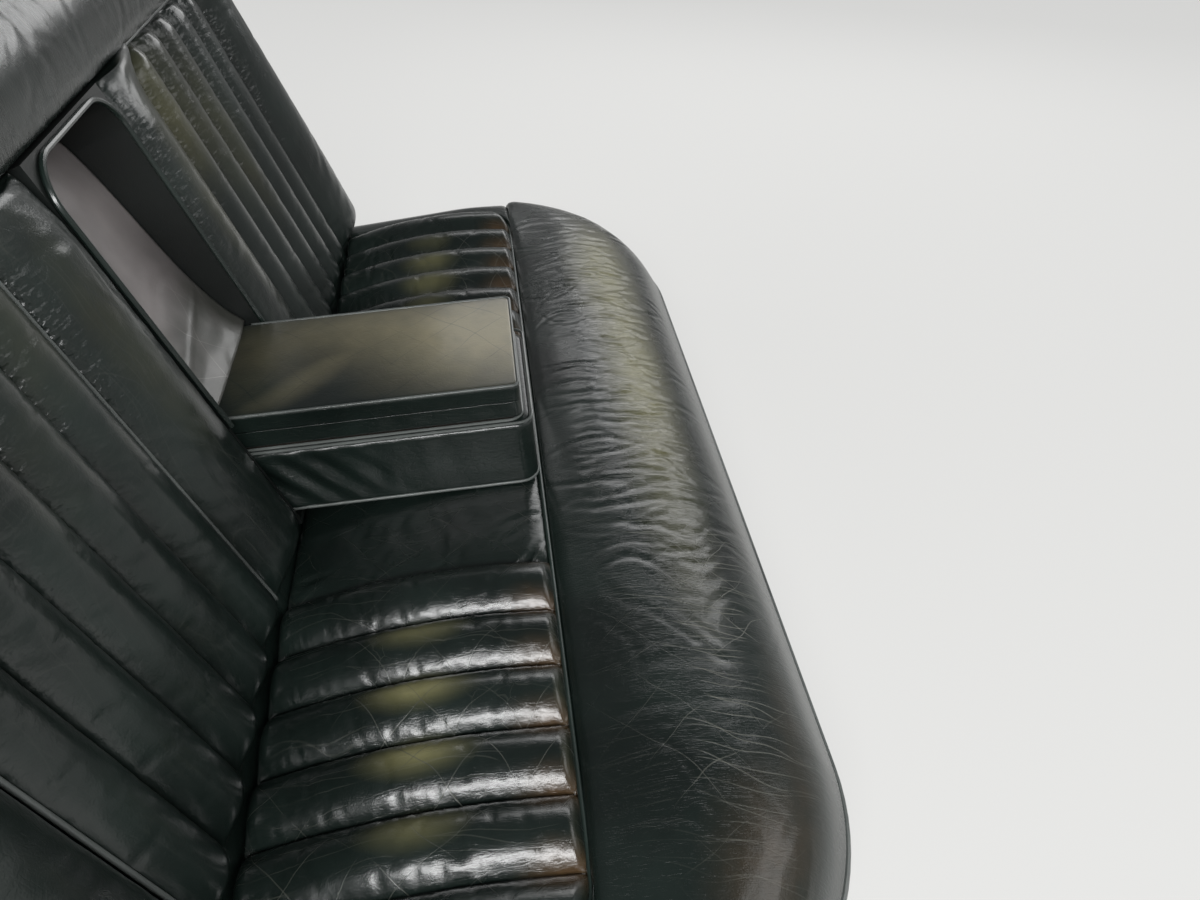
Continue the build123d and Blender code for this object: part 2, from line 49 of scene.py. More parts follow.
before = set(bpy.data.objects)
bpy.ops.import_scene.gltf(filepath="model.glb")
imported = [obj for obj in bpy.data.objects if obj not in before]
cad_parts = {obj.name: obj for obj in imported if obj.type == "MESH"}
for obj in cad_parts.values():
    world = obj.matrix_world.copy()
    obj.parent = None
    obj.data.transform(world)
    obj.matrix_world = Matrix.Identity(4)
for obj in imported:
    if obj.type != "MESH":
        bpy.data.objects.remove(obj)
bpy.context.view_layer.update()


def low(node):
    """Lowest corner of a node at rest."""
    return np.array(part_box(node)[0])


def high(node):
    """Highest corner of a node at rest."""
    return np.array(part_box(node)[1])


# Angles and places that the frame's boxes don't give, in metres from the bite line or the pivot
TILT = radians(20)              # squab back from upright
SLOPE = radians(7.5)            # cushion up towards the front
LEAN = radians(3)               # armrest up towards the front
PIVOT_BACK = 0.045              # armrest pivot behind the bite line
BITE_Z = 0.165
ROLL_CREST = (0.3448, 0.0493)   # front roll: forwards and up from the bite line
ROLL_SHOULDER = (0.420, 0.039)
ROLL_NOSE = (0.4716, 0.0093)
BORDER_RISE = 0.008             # plain border above the cushion's slope
EDGE_ROUND = 0.048
PLAN_CORNER = 0.250
PANEL_CORNER = 0.060
PANEL_CROWN = 0.007
FLUTE_RISE = 0.013
WING_BEND = 0.140               # where the squab starts to taper
SQUAB_TOP = 0.590
SQUAB_BOTTOM = -0.060
SQUAB_BACK = -0.125
SQUAB_CORNER = 0.090
SQUAB_TAPER = 0.050
ARCH_CORNER = 0.045
PANEL_TOP = 0.4446              # top seam of the squab panels, along the squab
VALLEY = 0.014                  # how far the seam under the top roll stands out
BOLSTER_LIP = 0.015
BOLSTER_RISE = 0.028
WING_RISE = 0.034
# Brown of scuffs; at the front roll's near end it is partly a painted warm gleam.
SCUFF_AND_GLEAM_BROWN = (0.062, 0.037, 0.017)
# Colour low on the well's lining: painted shade.
LINING_LOWER_SHADE = (0.050, 0.052, 0.044)
BACKDROP = (0.84, 0.84, 0.83)
REFLECTED = 0.25                # share of the pale backdrop that gloss mirrors
SEAM_GAP = 0.0006               # between a piece and what it ends at
SIDE_GAP = 0.0004               # between a piece and the next one beside it
BITE_GAP = 0.001                # between the cushion and the bite line
CUSHION_STUFFING = 0.03         # how far a piece reaches behind its skin
SQUAB_STUFFING = 0.08
ROW_PROUD = 0.002               # how much fuller a stuffed row is than its solid
HEM = 0.040                     # bottom of the roll and borders, under the bite line
ARMREST_RADIUS = 0.0655         # its top above the pivot, and the round of its rear
UPPER_PAD = (0.301, 0.095, 0.007)  # reach from the pivot, half width and corner
LOWER_PAD = (0.311, 0.097, 0.020)
SWELL_PRESSURE = 4.0
SWELL_CAP = 0.003               # farthest that a point moves as cloth
SWELL_FRAMES = 16

HALF = high("cushion_front_roll")[0]
PANEL_IN = low("cushion_fluted_panel_right")[0]
PANEL_OUT = high("cushion_fluted_panel_right")[0]
SQUAB_OUT = high("squab_fluted_panel_right")[0]
WELL_OUT = high("armrest_well_wall")[0]
PIVOT = (low("armrest_pivot") + high("armrest_pivot")) / 2
BITE_Y = PIVOT[1] - PIVOT_BACK
SEAM = (BITE_Y - low("cushion_fluted_panel_right")[1]) / cos(SLOPE)
SIDES = (("left", -1.0), ("right", 1.0))


def on_cushion(x, forward, rise):
    """Places x across, forward along the cushion's slope from the bite line, and rise square to the slope."""
    x, forward, rise = np.broadcast_arrays(x, forward, rise)
    y = BITE_Y - forward * cos(SLOPE) + rise * sin(SLOPE)
    return np.stack([x, y, BITE_Z + forward * sin(SLOPE) + rise * cos(SLOPE)], axis=-1)


def on_squab(x, along, proud):
    """Places x across, along the squab's face from the bite line, and proud in front of the face."""
    x, along, proud = np.broadcast_arrays(x, along, proud)
    y = BITE_Y + along * sin(TILT) - proud * cos(TILT)
    return np.stack([x, y, BITE_Z + along * cos(TILT) + proud * sin(TILT)], axis=-1)


def on_armrest(x, reach, rise):
    """Places x across, reach forwards along the armrest from its pivot, and rise above the pivot."""
    x, reach, rise = np.broadcast_arrays(x, reach, rise)
    y = PIVOT[1] - reach * cos(LEAN) + rise * sin(LEAN)
    return np.stack([x, y, PIVOT[2] + reach * sin(LEAN) + rise * cos(LEAN)], axis=-1)


CUSHION_DOWN = on_cushion(0, 0, -CUSHION_STUFFING) - on_cushion(0, 0, 0)
SQUAB_BACKWARD = on_squab(0, 0, -SQUAB_STUFFING) - on_squab(0, 0, 0)


def eased(t):
    """Steps from 0 to 1 that start and end gently."""
    t = np.clip(t, 0, 1)
    return t * t * (3 - 2 * t)


def near(distance, reach):
    """1 at a line, fading on both sides of it: exp of minus the square of distance over reach."""
    return np.exp(-((distance / reach) ** 2))


def rounded(distance, radius):
    """0 at an edge and 1 from radius inwards, as a quarter circle."""
    short = np.clip(1 - distance / radius, 0, 1)
    return np.sqrt(1 - short * short)


def packed(start, end, count):
    """Values from start to end, closer together at both ends: half a cosine wave."""
    return start + (end - start) * (0.5 - 0.5 * np.cos(np.linspace(0, pi, count)))


def through(points, count):
    """A smooth line through some points, at even steps along its length.
    Between two points it is the cubic whose slope at each is that from the point before to the one after."""
    p = np.array(points, float)
    before = np.vstack([2 * p[0] - p[1], p[:-1]])
    after = np.vstack([p[1:], 2 * p[-1] - p[-2]])
    slope = (after - before) / 2
    t = np.linspace(0, 1, 40, endpoint=False)[None, :, None]
    a, b, m, k = p[:-1, None], p[1:, None], slope[:-1, None], slope[1:, None]
    line = (2 * t**3 - 3 * t**2 + 1) * a + (t**3 - 2 * t**2 + t) * m
    line = line + (3 * t**2 - 2 * t**3) * b + (t**3 - t**2) * k
    line = np.vstack([line.reshape(-1, p.shape[1]), p[-1:]])
    return evenly(line, count)


def length_along(line):
    """Length along a line of points, up to each of them."""
    return np.concatenate([[0], np.cumsum(np.linalg.norm(np.diff(line, axis=0), axis=1))])


def evenly(line, count):
    """A line of points taken again at even steps along its length."""
    length = length_along(line)
    steps = np.linspace(0, length[-1], count)
    return np.stack([np.interp(steps, length, line[:, k]) for k in range(line.shape[1])], axis=1)


def face_normals(grid):
    """Unit normals of a grid of places: the cross product of its steps along rows and columns."""
    n = np.cross(np.gradient(grid, axis=0), np.gradient(grid, axis=1))
    return n / np.maximum(np.linalg.norm(n, axis=-1, keepdims=True), 1e-12)


def from_edge(grid, side):
    """Distance of each place of a grid from one side, along the rows or columns."""
    axis = 0 if side in ("first", "last") else 1
    step = np.linalg.norm(np.diff(grid, axis=axis), axis=-1)
    start = np.zeros_like(np.take(step, [0], axis=axis))
    run = np.concatenate([start, np.cumsum(step, axis=axis)], axis=axis)
    return run if side in ("first", "start") else np.take(run, [-1], axis=axis) - run


def tucked(grid, edges, outward):
    """The grid with its seamed edges rolled down: a quarter of an ellipse, radius wide and depth deep."""
    up = face_normals(grid)
    up = up * np.sign(np.sum(up * outward, axis=-1).mean())
    fullness = np.ones(grid.shape[:2])
    depth = 0.0
    for side, radius, deep in edges:
        fullness = fullness * rounded(from_edge(grid, side), radius)
        depth = max(depth, deep)
    return grid - up * (depth * (1 - fullness))[..., None]


def creases(a, b, seed, count, area, turn, length, width, depth):
    """Depth of soft creases at places (a, b): each is a groove with a low ridge on both sides,
    exp(-along squared) times (1 - across squared) exp(-across squared / 2), bowed a little."""
    rng = np.random.default_rng(seed)
    total = np.zeros(np.broadcast(a, b).shape)
    for _ in range(count):
        a0, b0 = rng.uniform(area[0], area[1]), rng.uniform(area[2], area[3])
        angle = rng.normal(turn[0], turn[1])
        long, wide = rng.uniform(*length) / 2, rng.uniform(*width) / 2
        bow = rng.normal(0, 0.25) / long
        along = (a - a0) * cos(angle) + (b - b0) * sin(angle)
        across = (b - b0) * cos(angle) - (a - a0) * sin(angle) + bow * along * along
        across = across / wide
        groove = (1 - across * across) * np.exp(-across * across / 2)
        total += rng.uniform(0.4, 1) * depth * groove * near(along, long)
    return total


def patches(a, b, spots):
    """Soft round spots at places (a, b): each is (a0, b0, half length, half width, strength)."""
    total = np.zeros(np.broadcast(a, b).shape)
    for a0, b0, long, wide, strength in spots:
        total += strength * np.exp(-(((a - a0) / long) ** 2) - ((b - b0) / wide) ** 2)
    return np.clip(total, 0, 1)


def mesh_object(name, points, faces, attributes=None):
    """A mesh from arrays of places and faces, smooth, with its faces turned outwards."""
    mesh = bpy.data.meshes.new(name)
    mesh.from_pydata(points.tolist(), [], faces)
    work = bmesh.new()
    work.from_mesh(mesh)
    bmesh.ops.recalc_face_normals(work, faces=work.faces)
    work.to_mesh(mesh)
    work.free()
    mesh.shade_smooth()
    for key, values in (attributes or {}).items():
        layer = mesh.attributes.new(key, "FLOAT", "POINT")
        full = np.zeros(len(points), np.float32)
        full[: values.size] = values.ravel()
        layer.data.foreach_set("value", full)
    piece = bpy.data.objects.new(name, mesh)
    bpy.context.collection.objects.link(piece)
    return piece


def tube_faces(rows, columns, wrap_rows, wrap_columns):
    """Quads of a grid of places, joined round where it wraps."""
    index = np.arange(rows * columns).reshape(rows, columns)
    if wrap_rows:
        index = np.vstack([index, index[:1]])
    if wrap_columns:
        index = np.hstack([index, index[:, :1]])
    quads = [index[:-1, :-1], index[1:, :-1], index[1:, 1:], index[:-1, 1:]]
    return np.stack(quads, axis=-1).reshape(-1, 4).tolist()


def fan(ring, middle):
    """Triangles that close a ring of points round a middle one."""
    return [[int(a), int(b), middle] for a, b in zip(ring, np.roll(ring, -1))]


def closed_form(name, rows, marks=None):
    """A closed form from rows of places that follow each other round it, with a fan over each end."""
    count, columns = rows.shape[:2]
    index = np.arange(count * columns).reshape(count, columns)
    ends = rows[:, [0, -1]].mean(axis=0)
    faces = tube_faces(count, columns, True, False)
    faces += fan(index[:, 0], count * columns) + fan(index[:, -1], count * columns + 1)
    return mesh_object(name, np.vstack([rows.reshape(-1, 3), ends]), faces, marks)


def stuffed(name, skin, first_in, last_in, marks=None):
    """A closed stuffed form: the skin's rows, carried round behind it by two rows that are moved inwards. A
    mark that is one number holds for the whole skin."""
    rows = np.concatenate([skin, (skin[-1] + last_in)[None], (skin[0] + first_in)[None]])
    marks = {key: np.broadcast_to(value, skin.shape[:2]) for key, value in (marks or {}).items()}
    return closed_form(name, rows, marks)


def little_tubes(name, points):
    """Many small six-sided tubes: points holds, for each tube, its rings of six. Two quads close each end."""
    count, rings, sides = points.shape[:3]
    caps = np.array([[0, 1, 2, 5], [2, 3, 4, 5]])
    faces = np.vstack([tube_faces(rings, sides, False, True), caps, caps + sides * (rings - 1)])
    starts = np.arange(count)[:, None, None] * rings * sides
    return mesh_object(name, points.reshape(-1, 3), (faces[None] + starts).reshape(-1, 4).tolist())


def cord_mesh(name, line, radius, sides=10):
    """A round cord along a line of places: a circle square to the line, with its ends closed."""
    line = np.array(line, float)
    ahead = np.gradient(line, axis=0)
    ahead /= np.linalg.norm(ahead, axis=1, keepdims=True)
    side = np.cross(ahead, (0.31, 0.47, 0.83))
    side /= np.linalg.norm(side, axis=1, keepdims=True)
    top = np.cross(side, ahead)
    turn = np.linspace(0, 2 * pi, sides, endpoint=False)[:, None, None]
    return closed_form(name, line[None] + radius * (np.cos(turn) * side[None] + np.sin(turn) * top[None]))


def swollen(piece, seams, slack):
    """Lets a piece swell as cloth with a little slack in the hide, then keeps the new shape: no point moves
    farther than a cap. What seams marks on the skin is pinned, and so is all that lies behind the skin."""
    mesh = piece.data
    pinned = np.ones(len(mesh.vertices), bool)
    pinned[: seams.size] = seams.ravel()
    before = np.empty(len(mesh.vertices) * 3)
    mesh.vertices.foreach_get("co", before)
    before = before.reshape(-1, 3)
    group = piece.vertex_groups.new(name="pinned")
    group.add(np.flatnonzero(pinned).tolist(), 1.0, "REPLACE")
    cloth = piece.modifiers.new("swell", "CLOTH")
    settings = cloth.settings
    settings.quality = 6
    settings.mass = 0.25
    settings.tension_stiffness = settings.compression_stiffness = 25
    settings.shear_stiffness = 12
    settings.bending_stiffness = 0.4
    settings.vertex_group_mass = "pinned"
    settings.use_pressure = True
    settings.uniform_pressure_force = SWELL_PRESSURE
    settings.shrink_min = settings.shrink_max = -slack
    settings.effector_weights.gravity = 0
    cloth.collision_settings.use_collision = False
    cloth.point_cache.frame_end = SWELL_FRAMES
    scene = bpy.context.scene
    for frame_number in range(1, SWELL_FRAMES + 1):
        scene.frame_set(frame_number)
    moved = piece.evaluated_get(bpy.context.evaluated_depsgraph_get()).data
    after = np.empty(len(mesh.vertices) * 3)
    moved.vertices.foreach_get("co", after)
    push = after.reshape(-1, 3) - before
    length = np.linalg.norm(push, axis=1, keepdims=True)
    push = push * (SWELL_CAP * np.tanh(length / SWELL_CAP) / np.maximum(length, 1e-9))
    piece.modifiers.remove(cloth)
    piece.vertex_groups.remove(group)
    scene.frame_set(1)
    mesh.vertices.foreach_set("co", (before + push).ravel())
    mesh.update()


def stitches(name, line, length):
    """A row of stitches along a line of places: flat spindles of thread with a gap between two."""
    thread, pitch = 0.00042, length * 1.35
    way = length_along(line)
    start = (np.arange(int(way[-1] / pitch)) + 0.2) * pitch
    share = np.array([0.0, 0.12, 0.5, 0.88, 1.0])
    full = np.array([0.25, 0.85, 1.0, 0.85, 0.25]) * thread
    steps = start[:, None] + share * length
    middle = np.stack([np.interp(steps, way, line[:, k]) for k in range(3)], axis=-1)
    ahead = middle[:, -1:] - middle[:, :1]
    ahead = ahead / np.linalg.norm(ahead, axis=-1, keepdims=True)
    side = np.cross(ahead, (0.0, 0.0, 1.0))
    side = side / np.linalg.norm(side, axis=-1, keepdims=True)
    top = np.cross(side, ahead)
    turn = np.linspace(0, 2 * pi, 6, endpoint=False)[:, None]
    ring = np.cos(turn)[None, None] * side[:, :, None] + np.sin(turn)[None, None] * top[:, :, None]
    return little_tubes(name, middle[:, :, None] + ring * full[None, :, None, None])


class Wire:
    """A socket that adds Math nodes when it is used in a sum."""

    def __init__(self, nodes, socket):
        self.nodes = nodes
        self.socket = socket

    def math(self, operation, *values):
        """One Math node on some values or wires."""
        return self.nodes.add("ShaderNodeMath", {"operation": operation}, dict(enumerate(values)))

    def __add__(self, other):
        return self.math("ADD", self, other)

    def __mul__(self, other):
        return self.math("MULTIPLY", self, other)

    def __sub__(self, other):
        return self.math("SUBTRACT", self, other)

    def __rsub__(self, other):
        return self.math("SUBTRACT", other, self)

    __radd__ = __add__
    __rmul__ = __mul__

    def above(self, start, end):
        """0 below start, 1 above end, and a straight slope between them."""
        sockets = {"Value": self, "From Min": start, "From Max": end}
        return self.nodes.add("ShaderNodeMapRange", {"clamp": True}, sockets)


class Nodes:
    """A material, or the world, and the one way to add nodes to it."""

    def __init__(self, name, world=None):
        self.material = world or bpy.data.materials.new(name)
        self.material.use_nodes = True
        self.tree = self.material.node_tree
        self.tree.nodes.clear()
        self.end = "ShaderNodeOutputMaterial" if world is None else "ShaderNodeOutputWorld"
        self.place = self.add("ShaderNodeTexCoord", {}, {}, "Object" if world is None else "Generated")

    def add(self, kind, settings, sockets, output=0):
        """One node: its settings first, then its sockets' values or links. Returns one of its outputs."""
        node = self.tree.nodes.new(kind)
        for key, value in settings.items():
            setattr(node, key, value)
        for key, value in sockets.items():
            if isinstance(value, Wire):
                self.tree.links.new(value.socket, node.inputs[key])
            else:
                node.inputs[key].default_value = value
        return Wire(self, node.outputs[output])

    def stretched(self, scale):
        """Object coordinates times a scale on each axis."""
        return self.add("ShaderNodeVectorMath", {"operation": "MULTIPLY"}, {0: self.place, 1: scale})

    def noise(self, scale, detail, vector=None, output=0):
        sockets = {"Vector": vector or self.place, "Scale": scale, "Detail": detail}
        return self.add("ShaderNodeTexNoise", {}, sockets, output)

    def warped(self, vector, scale, amount):
        """Coordinates pushed about by a noise."""
        push = self.noise(scale, 3.0, vector, "Color")
        push = self.add("ShaderNodeVectorMath", {"operation": "SUBTRACT"}, {0: push, 1: (0.5, 0.5, 0.5)})
        push = self.add("ShaderNodeVectorMath", {"operation": "SCALE"}, {0: push, "Scale": amount})
        return self.add("ShaderNodeVectorMath", {"operation": "ADD"}, {0: vector, 1: push})

    def cells(self, scale, feature, vector=None):
        sockets = {"Vector": vector or self.place, "Scale": scale}
        return self.add("ShaderNodeTexVoronoi", {"feature": feature}, sockets, "Distance")

    def mix(self, factor, first, second):
        settings = {"data_type": "RGBA"}
        return self.add("ShaderNodeMix", settings, {0: factor, 6: first, 7: second}, 2)

    def ray(self, kind):
        return self.add("ShaderNodeLightPath", {}, {}, kind)

    def attribute(self, name):
        return self.add("ShaderNodeAttribute", {"attribute_name": name}, {}, "Fac")

    def groove(self, value, width):
        """0 along the lines where a noise passes its middle, and 1 away from them."""
        past = value - 0.5
        return past.math("ABSOLUTE", past).above(0.0, width)

    def scratches(self, turn, spread, sway, width):
        """1 along long thin lines, turned about the upright axis: spread of them to a metre, swaying by sway
        times their spacing. The distance to the next line is the place across, folded back at each half."""
        sockets = {"Vector": self.place, "Angle": turn}
        turned = self.add("ShaderNodeVectorRotate", {"rotation_type": "Z_AXIS"}, sockets)
        across = self.add("ShaderNodeSeparateXYZ", {}, {"Vector": turned}, "X")
        across = across * spread + self.noise(6.0, 2.0) * sway
        return 1.0 - across.math("PINGPONG", across, 0.5).above(0.25 * width, width)

    def bump(self, height, distance, normal=None):
        sockets = {"Height": height, "Distance": distance, "Strength": 1.0}
        if normal is not None:
            sockets["Normal"] = normal
        return self.add("ShaderNodeBump", {}, sockets)

    def finish(self, **sockets):
        """Ends the material with one Principled shader."""
        names = {key.replace("_", " "): value for key, value in sockets.items()}
        shader = self.add("ShaderNodeBsdfPrincipled", {}, names)
        self.add_output(shader)
        return self.material

    def add_output(self, shader):
        output = self.tree.nodes.new(self.end)
        self.tree.links.new(shader.socket, output.inputs["Surface"])


def opaque(colour, strength=1.0):
    """A colour times a strength, with its fourth number."""
    return (*(strength * c for c in colour), 1.0)


def leather(name, hide, worn_and_painted_light, crack, rough, lie, crosswise=0.5, slanting=0.6, grain=1.0):
    """Worn hide. Pebbled grain, thin folds that lie along one way where the folds attribute is high,
    pale cracks where the cracks attribute is high, and a second colour where the mark of wear and painted
    light is high: rubbed dye on the cushion rows, painted sheen on the front roll, squab and armrest top, and
    painted shade low on the well's lining.
    Brown scuffs, partly a painted warm gleam at the front roll's near end, where scuffs is high, and level
    gathers, about 7 mm apart, where gathers is high."""
    f = Nodes(name)
    wear_and_painted_light, cracked, folded = f.attribute("wear_and_painted_light"), f.attribute("cracks"), f.attribute("folds")
    pebbles = f.cells(620.0, "F1")
    fold_lie = f.warped(f.stretched(lie), 0.6, 0.9)
    folds = f.groove(f.noise(1.0, 2.0, fold_lie), 0.05) + f.groove(f.noise(2.3, 2.0, fold_lie), 0.07)
    along = f.scratches(0.0, 62.0, 4.0, 0.040) + f.scratches(0.15, 31.0, 3.0, 0.026)
    along = along * f.noise(14.0, 3.0).above(0.46, 0.58)
    crossed = f.scratches(0.85, 23.0, 1.6, 0.013) + f.scratches(-0.75, 25.0, 1.8, 0.014)
    crossed = crossed * f.noise(10.0, 3.0).above(0.44, 0.62)
    net = f.cells(33.0, "DISTANCE_TO_EDGE", f.warped(f.place, 15.0, 0.030))
    net_cracks = (1.0 - net.above(0.003, 0.013)) * f.noise(11.0, 4.0).above(0.55, 0.65)
    lines = ((crosswise * along + slanting * crossed) * cracked).above(0.0, 1.0)
    cracks = (lines + 0.3 * net_cracks * cracked).above(0.0, 1.0)
    cloudy = f.noise(8.0, 5.0)
    colour = f.mix(cloudy.above(0.38, 0.68), opaque(hide), opaque(hide, 1.9))
    # The second colour: rubbed dye, painted sheen and painted shade, wherever the mark of wear and painted
    # light gives it.
    tint_mask = (wear_and_painted_light * (0.6 + 0.8 * f.noise(34.0, 6.0)) * (1.0 - 0.6 * crossed)).above(0.05, 0.95)
    colour = f.mix(tint_mask, colour, opaque(worn_and_painted_light))
    scuffs = (f.attribute("scuffs") * (0.3 + 1.2 * f.noise(55.0, 5.0))).above(0.05, 0.95)
    colour = f.mix(scuffs, colour, opaque(SCUFF_AND_GLEAM_BROWN))
    colour = f.mix(cracks, colour, opaque(crack))
    roughness = rough - 0.05 + 0.10 * cloudy + 0.10 * tint_mask + 0.3 * cracks
    height = f.bump(pebbles, 0.00008 * grain)
    height = f.bump(folds * folded, 0.0007, height)
    height = f.bump(1.0 - lines, 0.0003, height)
    gathers = f.noise(1.0, 1.0, f.stretched((16.0, 150.0, 150.0))) * f.attribute("gathers")
    height = f.bump(gathers, 0.0034, height)
    height = f.bump(f.noise(38.0, 4.0), 0.0004 * grain, height)
    gloss = {"Specular_IOR_Level": 0.46, "Coat_Weight": 0.32, "Coat_Roughness": 0.17}
    return f.finish(Base_Color=colour, Roughness=roughness, Normal=height, **gloss)


def painted(name, colour, rough, metallic=0.0):
    """Sprayed or bare steel: slightly uneven colour and a rough film with rubbed places."""
    f = Nodes(name)
    blotches = f.noise(22.0, 5.0)
    scuffs = f.noise(1.0, 4.0, f.stretched((30.0, 140.0, 30.0))).above(0.55, 0.75)
    tint = f.mix(blotches.above(0.35, 0.7), opaque(colour), opaque(tuple(1.5 * c + 0.01 for c in colour)))
    tint = f.mix(scuffs * 0.3, tint, opaque(tuple(min(1.0, 2.5 * c + 0.02) for c in colour)))
    height = f.bump(f.noise(320.0, 3.0), 0.00025)
    roughness = rough + 0.2 * blotches - 0.06
    return f.finish(Base_Color=tint, Roughness=roughness, Metallic=metallic, Normal=height)


def fibrous(name, colour, rough):
    """Felt or hardboard: short matted fibres at two sizes."""
    f = Nodes(name)
    hair = f.noise(1.0, 6.0, f.warped(f.stretched((260.0, 90.0, 90.0)), 0.6, 2.0))
    clumps = f.noise(48.0, 4.0)
    tint = f.mix(hair.above(0.3, 0.7), opaque(colour, 0.6), opaque(colour))
    tint = f.mix(clumps.above(0.4, 0.8) * 0.5, tint, opaque(colour, 1.25))
    height = f.bump(hair, 0.0006, f.bump(clumps, 0.0012))
    return f.finish(Base_Color=tint, Roughness=rough, Normal=height)


def paint(piece, material):
    """Gives a piece one material."""
    piece.data.materials.clear()
    piece.data.materials.append(material)


def kept(name):
    """A material made by an earlier operator."""
    return bpy.data.materials[name]


def place(piece, body, slot, material, nodes=(), fill=None):
    """Gives a finished piece its material, hides the nodes that it stands for and puts it on its body. Its
    slot and fill are not used.
    """
    paint(piece, kept(material))
    if nodes:
        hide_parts(*nodes)
    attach(piece, body)


def dye(name, description, default):
    return FloatVectorProperty(name=name, description=description, subtype="COLOR", default=default)


def measure(name, description, default):
    return FloatProperty(name=name, description=description, default=default, unit="LENGTH")


class SeatColours(bpy.types.PropertyGroup):
    hide: dye("Leather", "Main leather", (0.0054, 0.0092, 0.0078))
    # Olive second colour: rubbed dye on the cushion rows, and a painted sheen on the front roll and the
    # squab.
    worn_and_painted_light: dye("Worn leather", "Where the dye has rubbed off", (0.205, 0.195, 0.088))
    crack: dye("Cracks", "Cracked leather", (0.17, 0.172, 0.145))
    # Armrest top: faded leather, made far lighter than its own colour as a painted sheen.
    armrest: dye("Armrest top", "Faded leather on the armrest", (0.235, 0.208, 0.120))
    # Piping colour: the dark hide lightened as a painted highlight along the cords.
    piping: dye("Piping", "Leather piping", (0.070, 0.078, 0.074))
    # Lining colour: dark leather painted pale grey as a painted reflection.
    lining: dye("Lining", "Lining of the armrest's well", (0.165, 0.150, 0.148))
    thread: dye("Thread", "Sewing thread", (0.05, 0.055, 0.05))
    frame_paint: dye("Frame paint", "Black enamel on the tubes", (0.012, 0.012, 0.013))
    steel: dye("Bare steel", "Springs and pivot", (0.36, 0.35, 0.34))
    board: dye("Hardboard", "Back of the squab", (0.11, 0.065, 0.035))
    felt: dye("Felt", "Felt on the springs", (0.15, 0.13, 0.11))
    floor: dye("Floor", "Studio floor", (0.72, 0.72, 0.70))


class SeatSizes(bpy.types.PropertyGroup):
    channel: measure("Channel depth", "How deep the sewn channels sink", 0.006)
    seam: measure("Seam depth", "How deep a plain seam sinks", 0.008)
    crease: measure("Crease depth", "Deepest crease in the leather", 0.0022)
    bow: measure("Row bow", "How far the cushion's rows bow up", 0.016)
    gather: measure("Gathers", "Height of the gathers beside a channel", 0.0009)
    welt: measure("Seam piping radius", "Radius of the piping in the seams", 0.0023)
    stitch: measure("Stitch length", "Length of one stitch", 0.0042)
    cushion_flutes: IntProperty(name="Cushion flutes", description="Rows in each cushion panel", default=6)
    squab_flutes: IntProperty(name="Squab flutes", description="Rows in each squab panel", default=5)


class SEAT_OT_finishes(bpy.types.Operator):
    """Mixes the leathers, paints, felt and board, and gives the rigid nodes theirs"""

    bl_idname = "seat.finishes"
    bl_label = "Finishes"

    def execute(self, context):
        c = context.scene.seat_colours
        hide, worn_and_painted_light, crack = tuple(c.hide), tuple(c.worn_and_painted_light), tuple(c.crack)
        across, crumpled = (170.0, 26.0, 26.0), (70.0, 40.0, 40.0)
        leather("cushion_hide", hide, worn_and_painted_light, crack, 0.27, across, 0.3, 0.7)
        leather("roll_hide", hide, worn_and_painted_light, crack, 0.27, across, 0.8, 0.8)
        leather("squab_hide", hide, worn_and_painted_light, crack, 0.29, crumpled)
        # Its second colour is a painted sheen on the armrest's top.
        leather("armrest_sheen_hide", hide, tuple(c.armrest), crack, 0.30, (60.0, 40.0, 90.0), 0.3, 0.3, 0.35)
        # Piping: its lightened colour is a painted highlight.
        leather("piping_highlight_hide", tuple(c.piping), worn_and_painted_light, crack, 0.36, across, 0.0, 0.0, 0.6)
        leather("seam_hide", tuple(2.2 * v for v in c.hide), worn_and_painted_light, crack, 0.36, across, 0.0, 0.0, 0.4)
        leather("mouth_hide", tuple(1.3 * v for v in c.hide), worn_and_painted_light, crack, 0.27, across, 0.0, 0.0, 0.3)
        # Well walls: the hide darkened to 0.4 as painted shade inside the well.
        leather("shaded_well_hide", tuple(0.4 * v for v in c.hide), worn_and_painted_light, crack, 0.55, crumpled)
        # The lining's pale grey is a painted reflection.
        leather("lining_reflection_hide", tuple(c.lining), LINING_LOWER_SHADE, crack, 0.34, crumpled, 0.0, 0.0, 0.5)
        painted("frame_enamel", tuple(c.frame_paint), 0.42)
        painted("spring_steel", tuple(c.steel), 0.38, 0.9)
        fibrous("squab_hardboard", tuple(c.board), 0.85)
        fibrous("armrest_ply", tuple(0.1 * v for v in c.board), 0.7)
        fibrous("underlay_felt", tuple(c.felt), 0.95)
        painted("sewing_thread", tuple(c.thread), 0.6)
        rigid = {
            "mouth_hide": ("well_piping",),
            "frame_enamel": ("rail", "post", "foot", "tab"),
            "spring_steel": ("springs", "pivot", "sleeve"),
            "squab_hardboard": ("squab_board",),
            "armrest_ply": ("armrest_board",),
            "piping_highlight_hide": ("cushion_piping", "armrest_piping"),
            # The well's back panel gets the lining's painted reflection, and its walls get painted shade.
            "lining_reflection_hide": ("well_back",),
            "shaded_well_hide": ("well_wall",),
            "underlay_felt": ("underlay", "centre_pad"),
        }
        for node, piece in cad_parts.items():
            for material, words in rigid.items():
                if any(word in node for word in words):
                    paint(piece, kept(material))
        return {"FINISHED"}


def flute_profile(x, inner, pitch):
    """Section across the rows, 0 in a channel and 1 on top: the sine of the place in the row, to the power
    0.75."""
    share = np.mod(np.abs(x - inner) / pitch, 1.0)
    share = np.where(np.abs(share - 1) < 1e-6, 0, share)
    return np.sin(pi * share) ** 0.75


def flute_columns(inner, pitch, count, per_row):
    """Places across the rows, closer together in the channels."""
    row = packed(0, 1, per_row + 1)[:-1]
    return np.concatenate([inner + (k + row) * pitch for k in range(count)] + [[inner + count * pitch]])


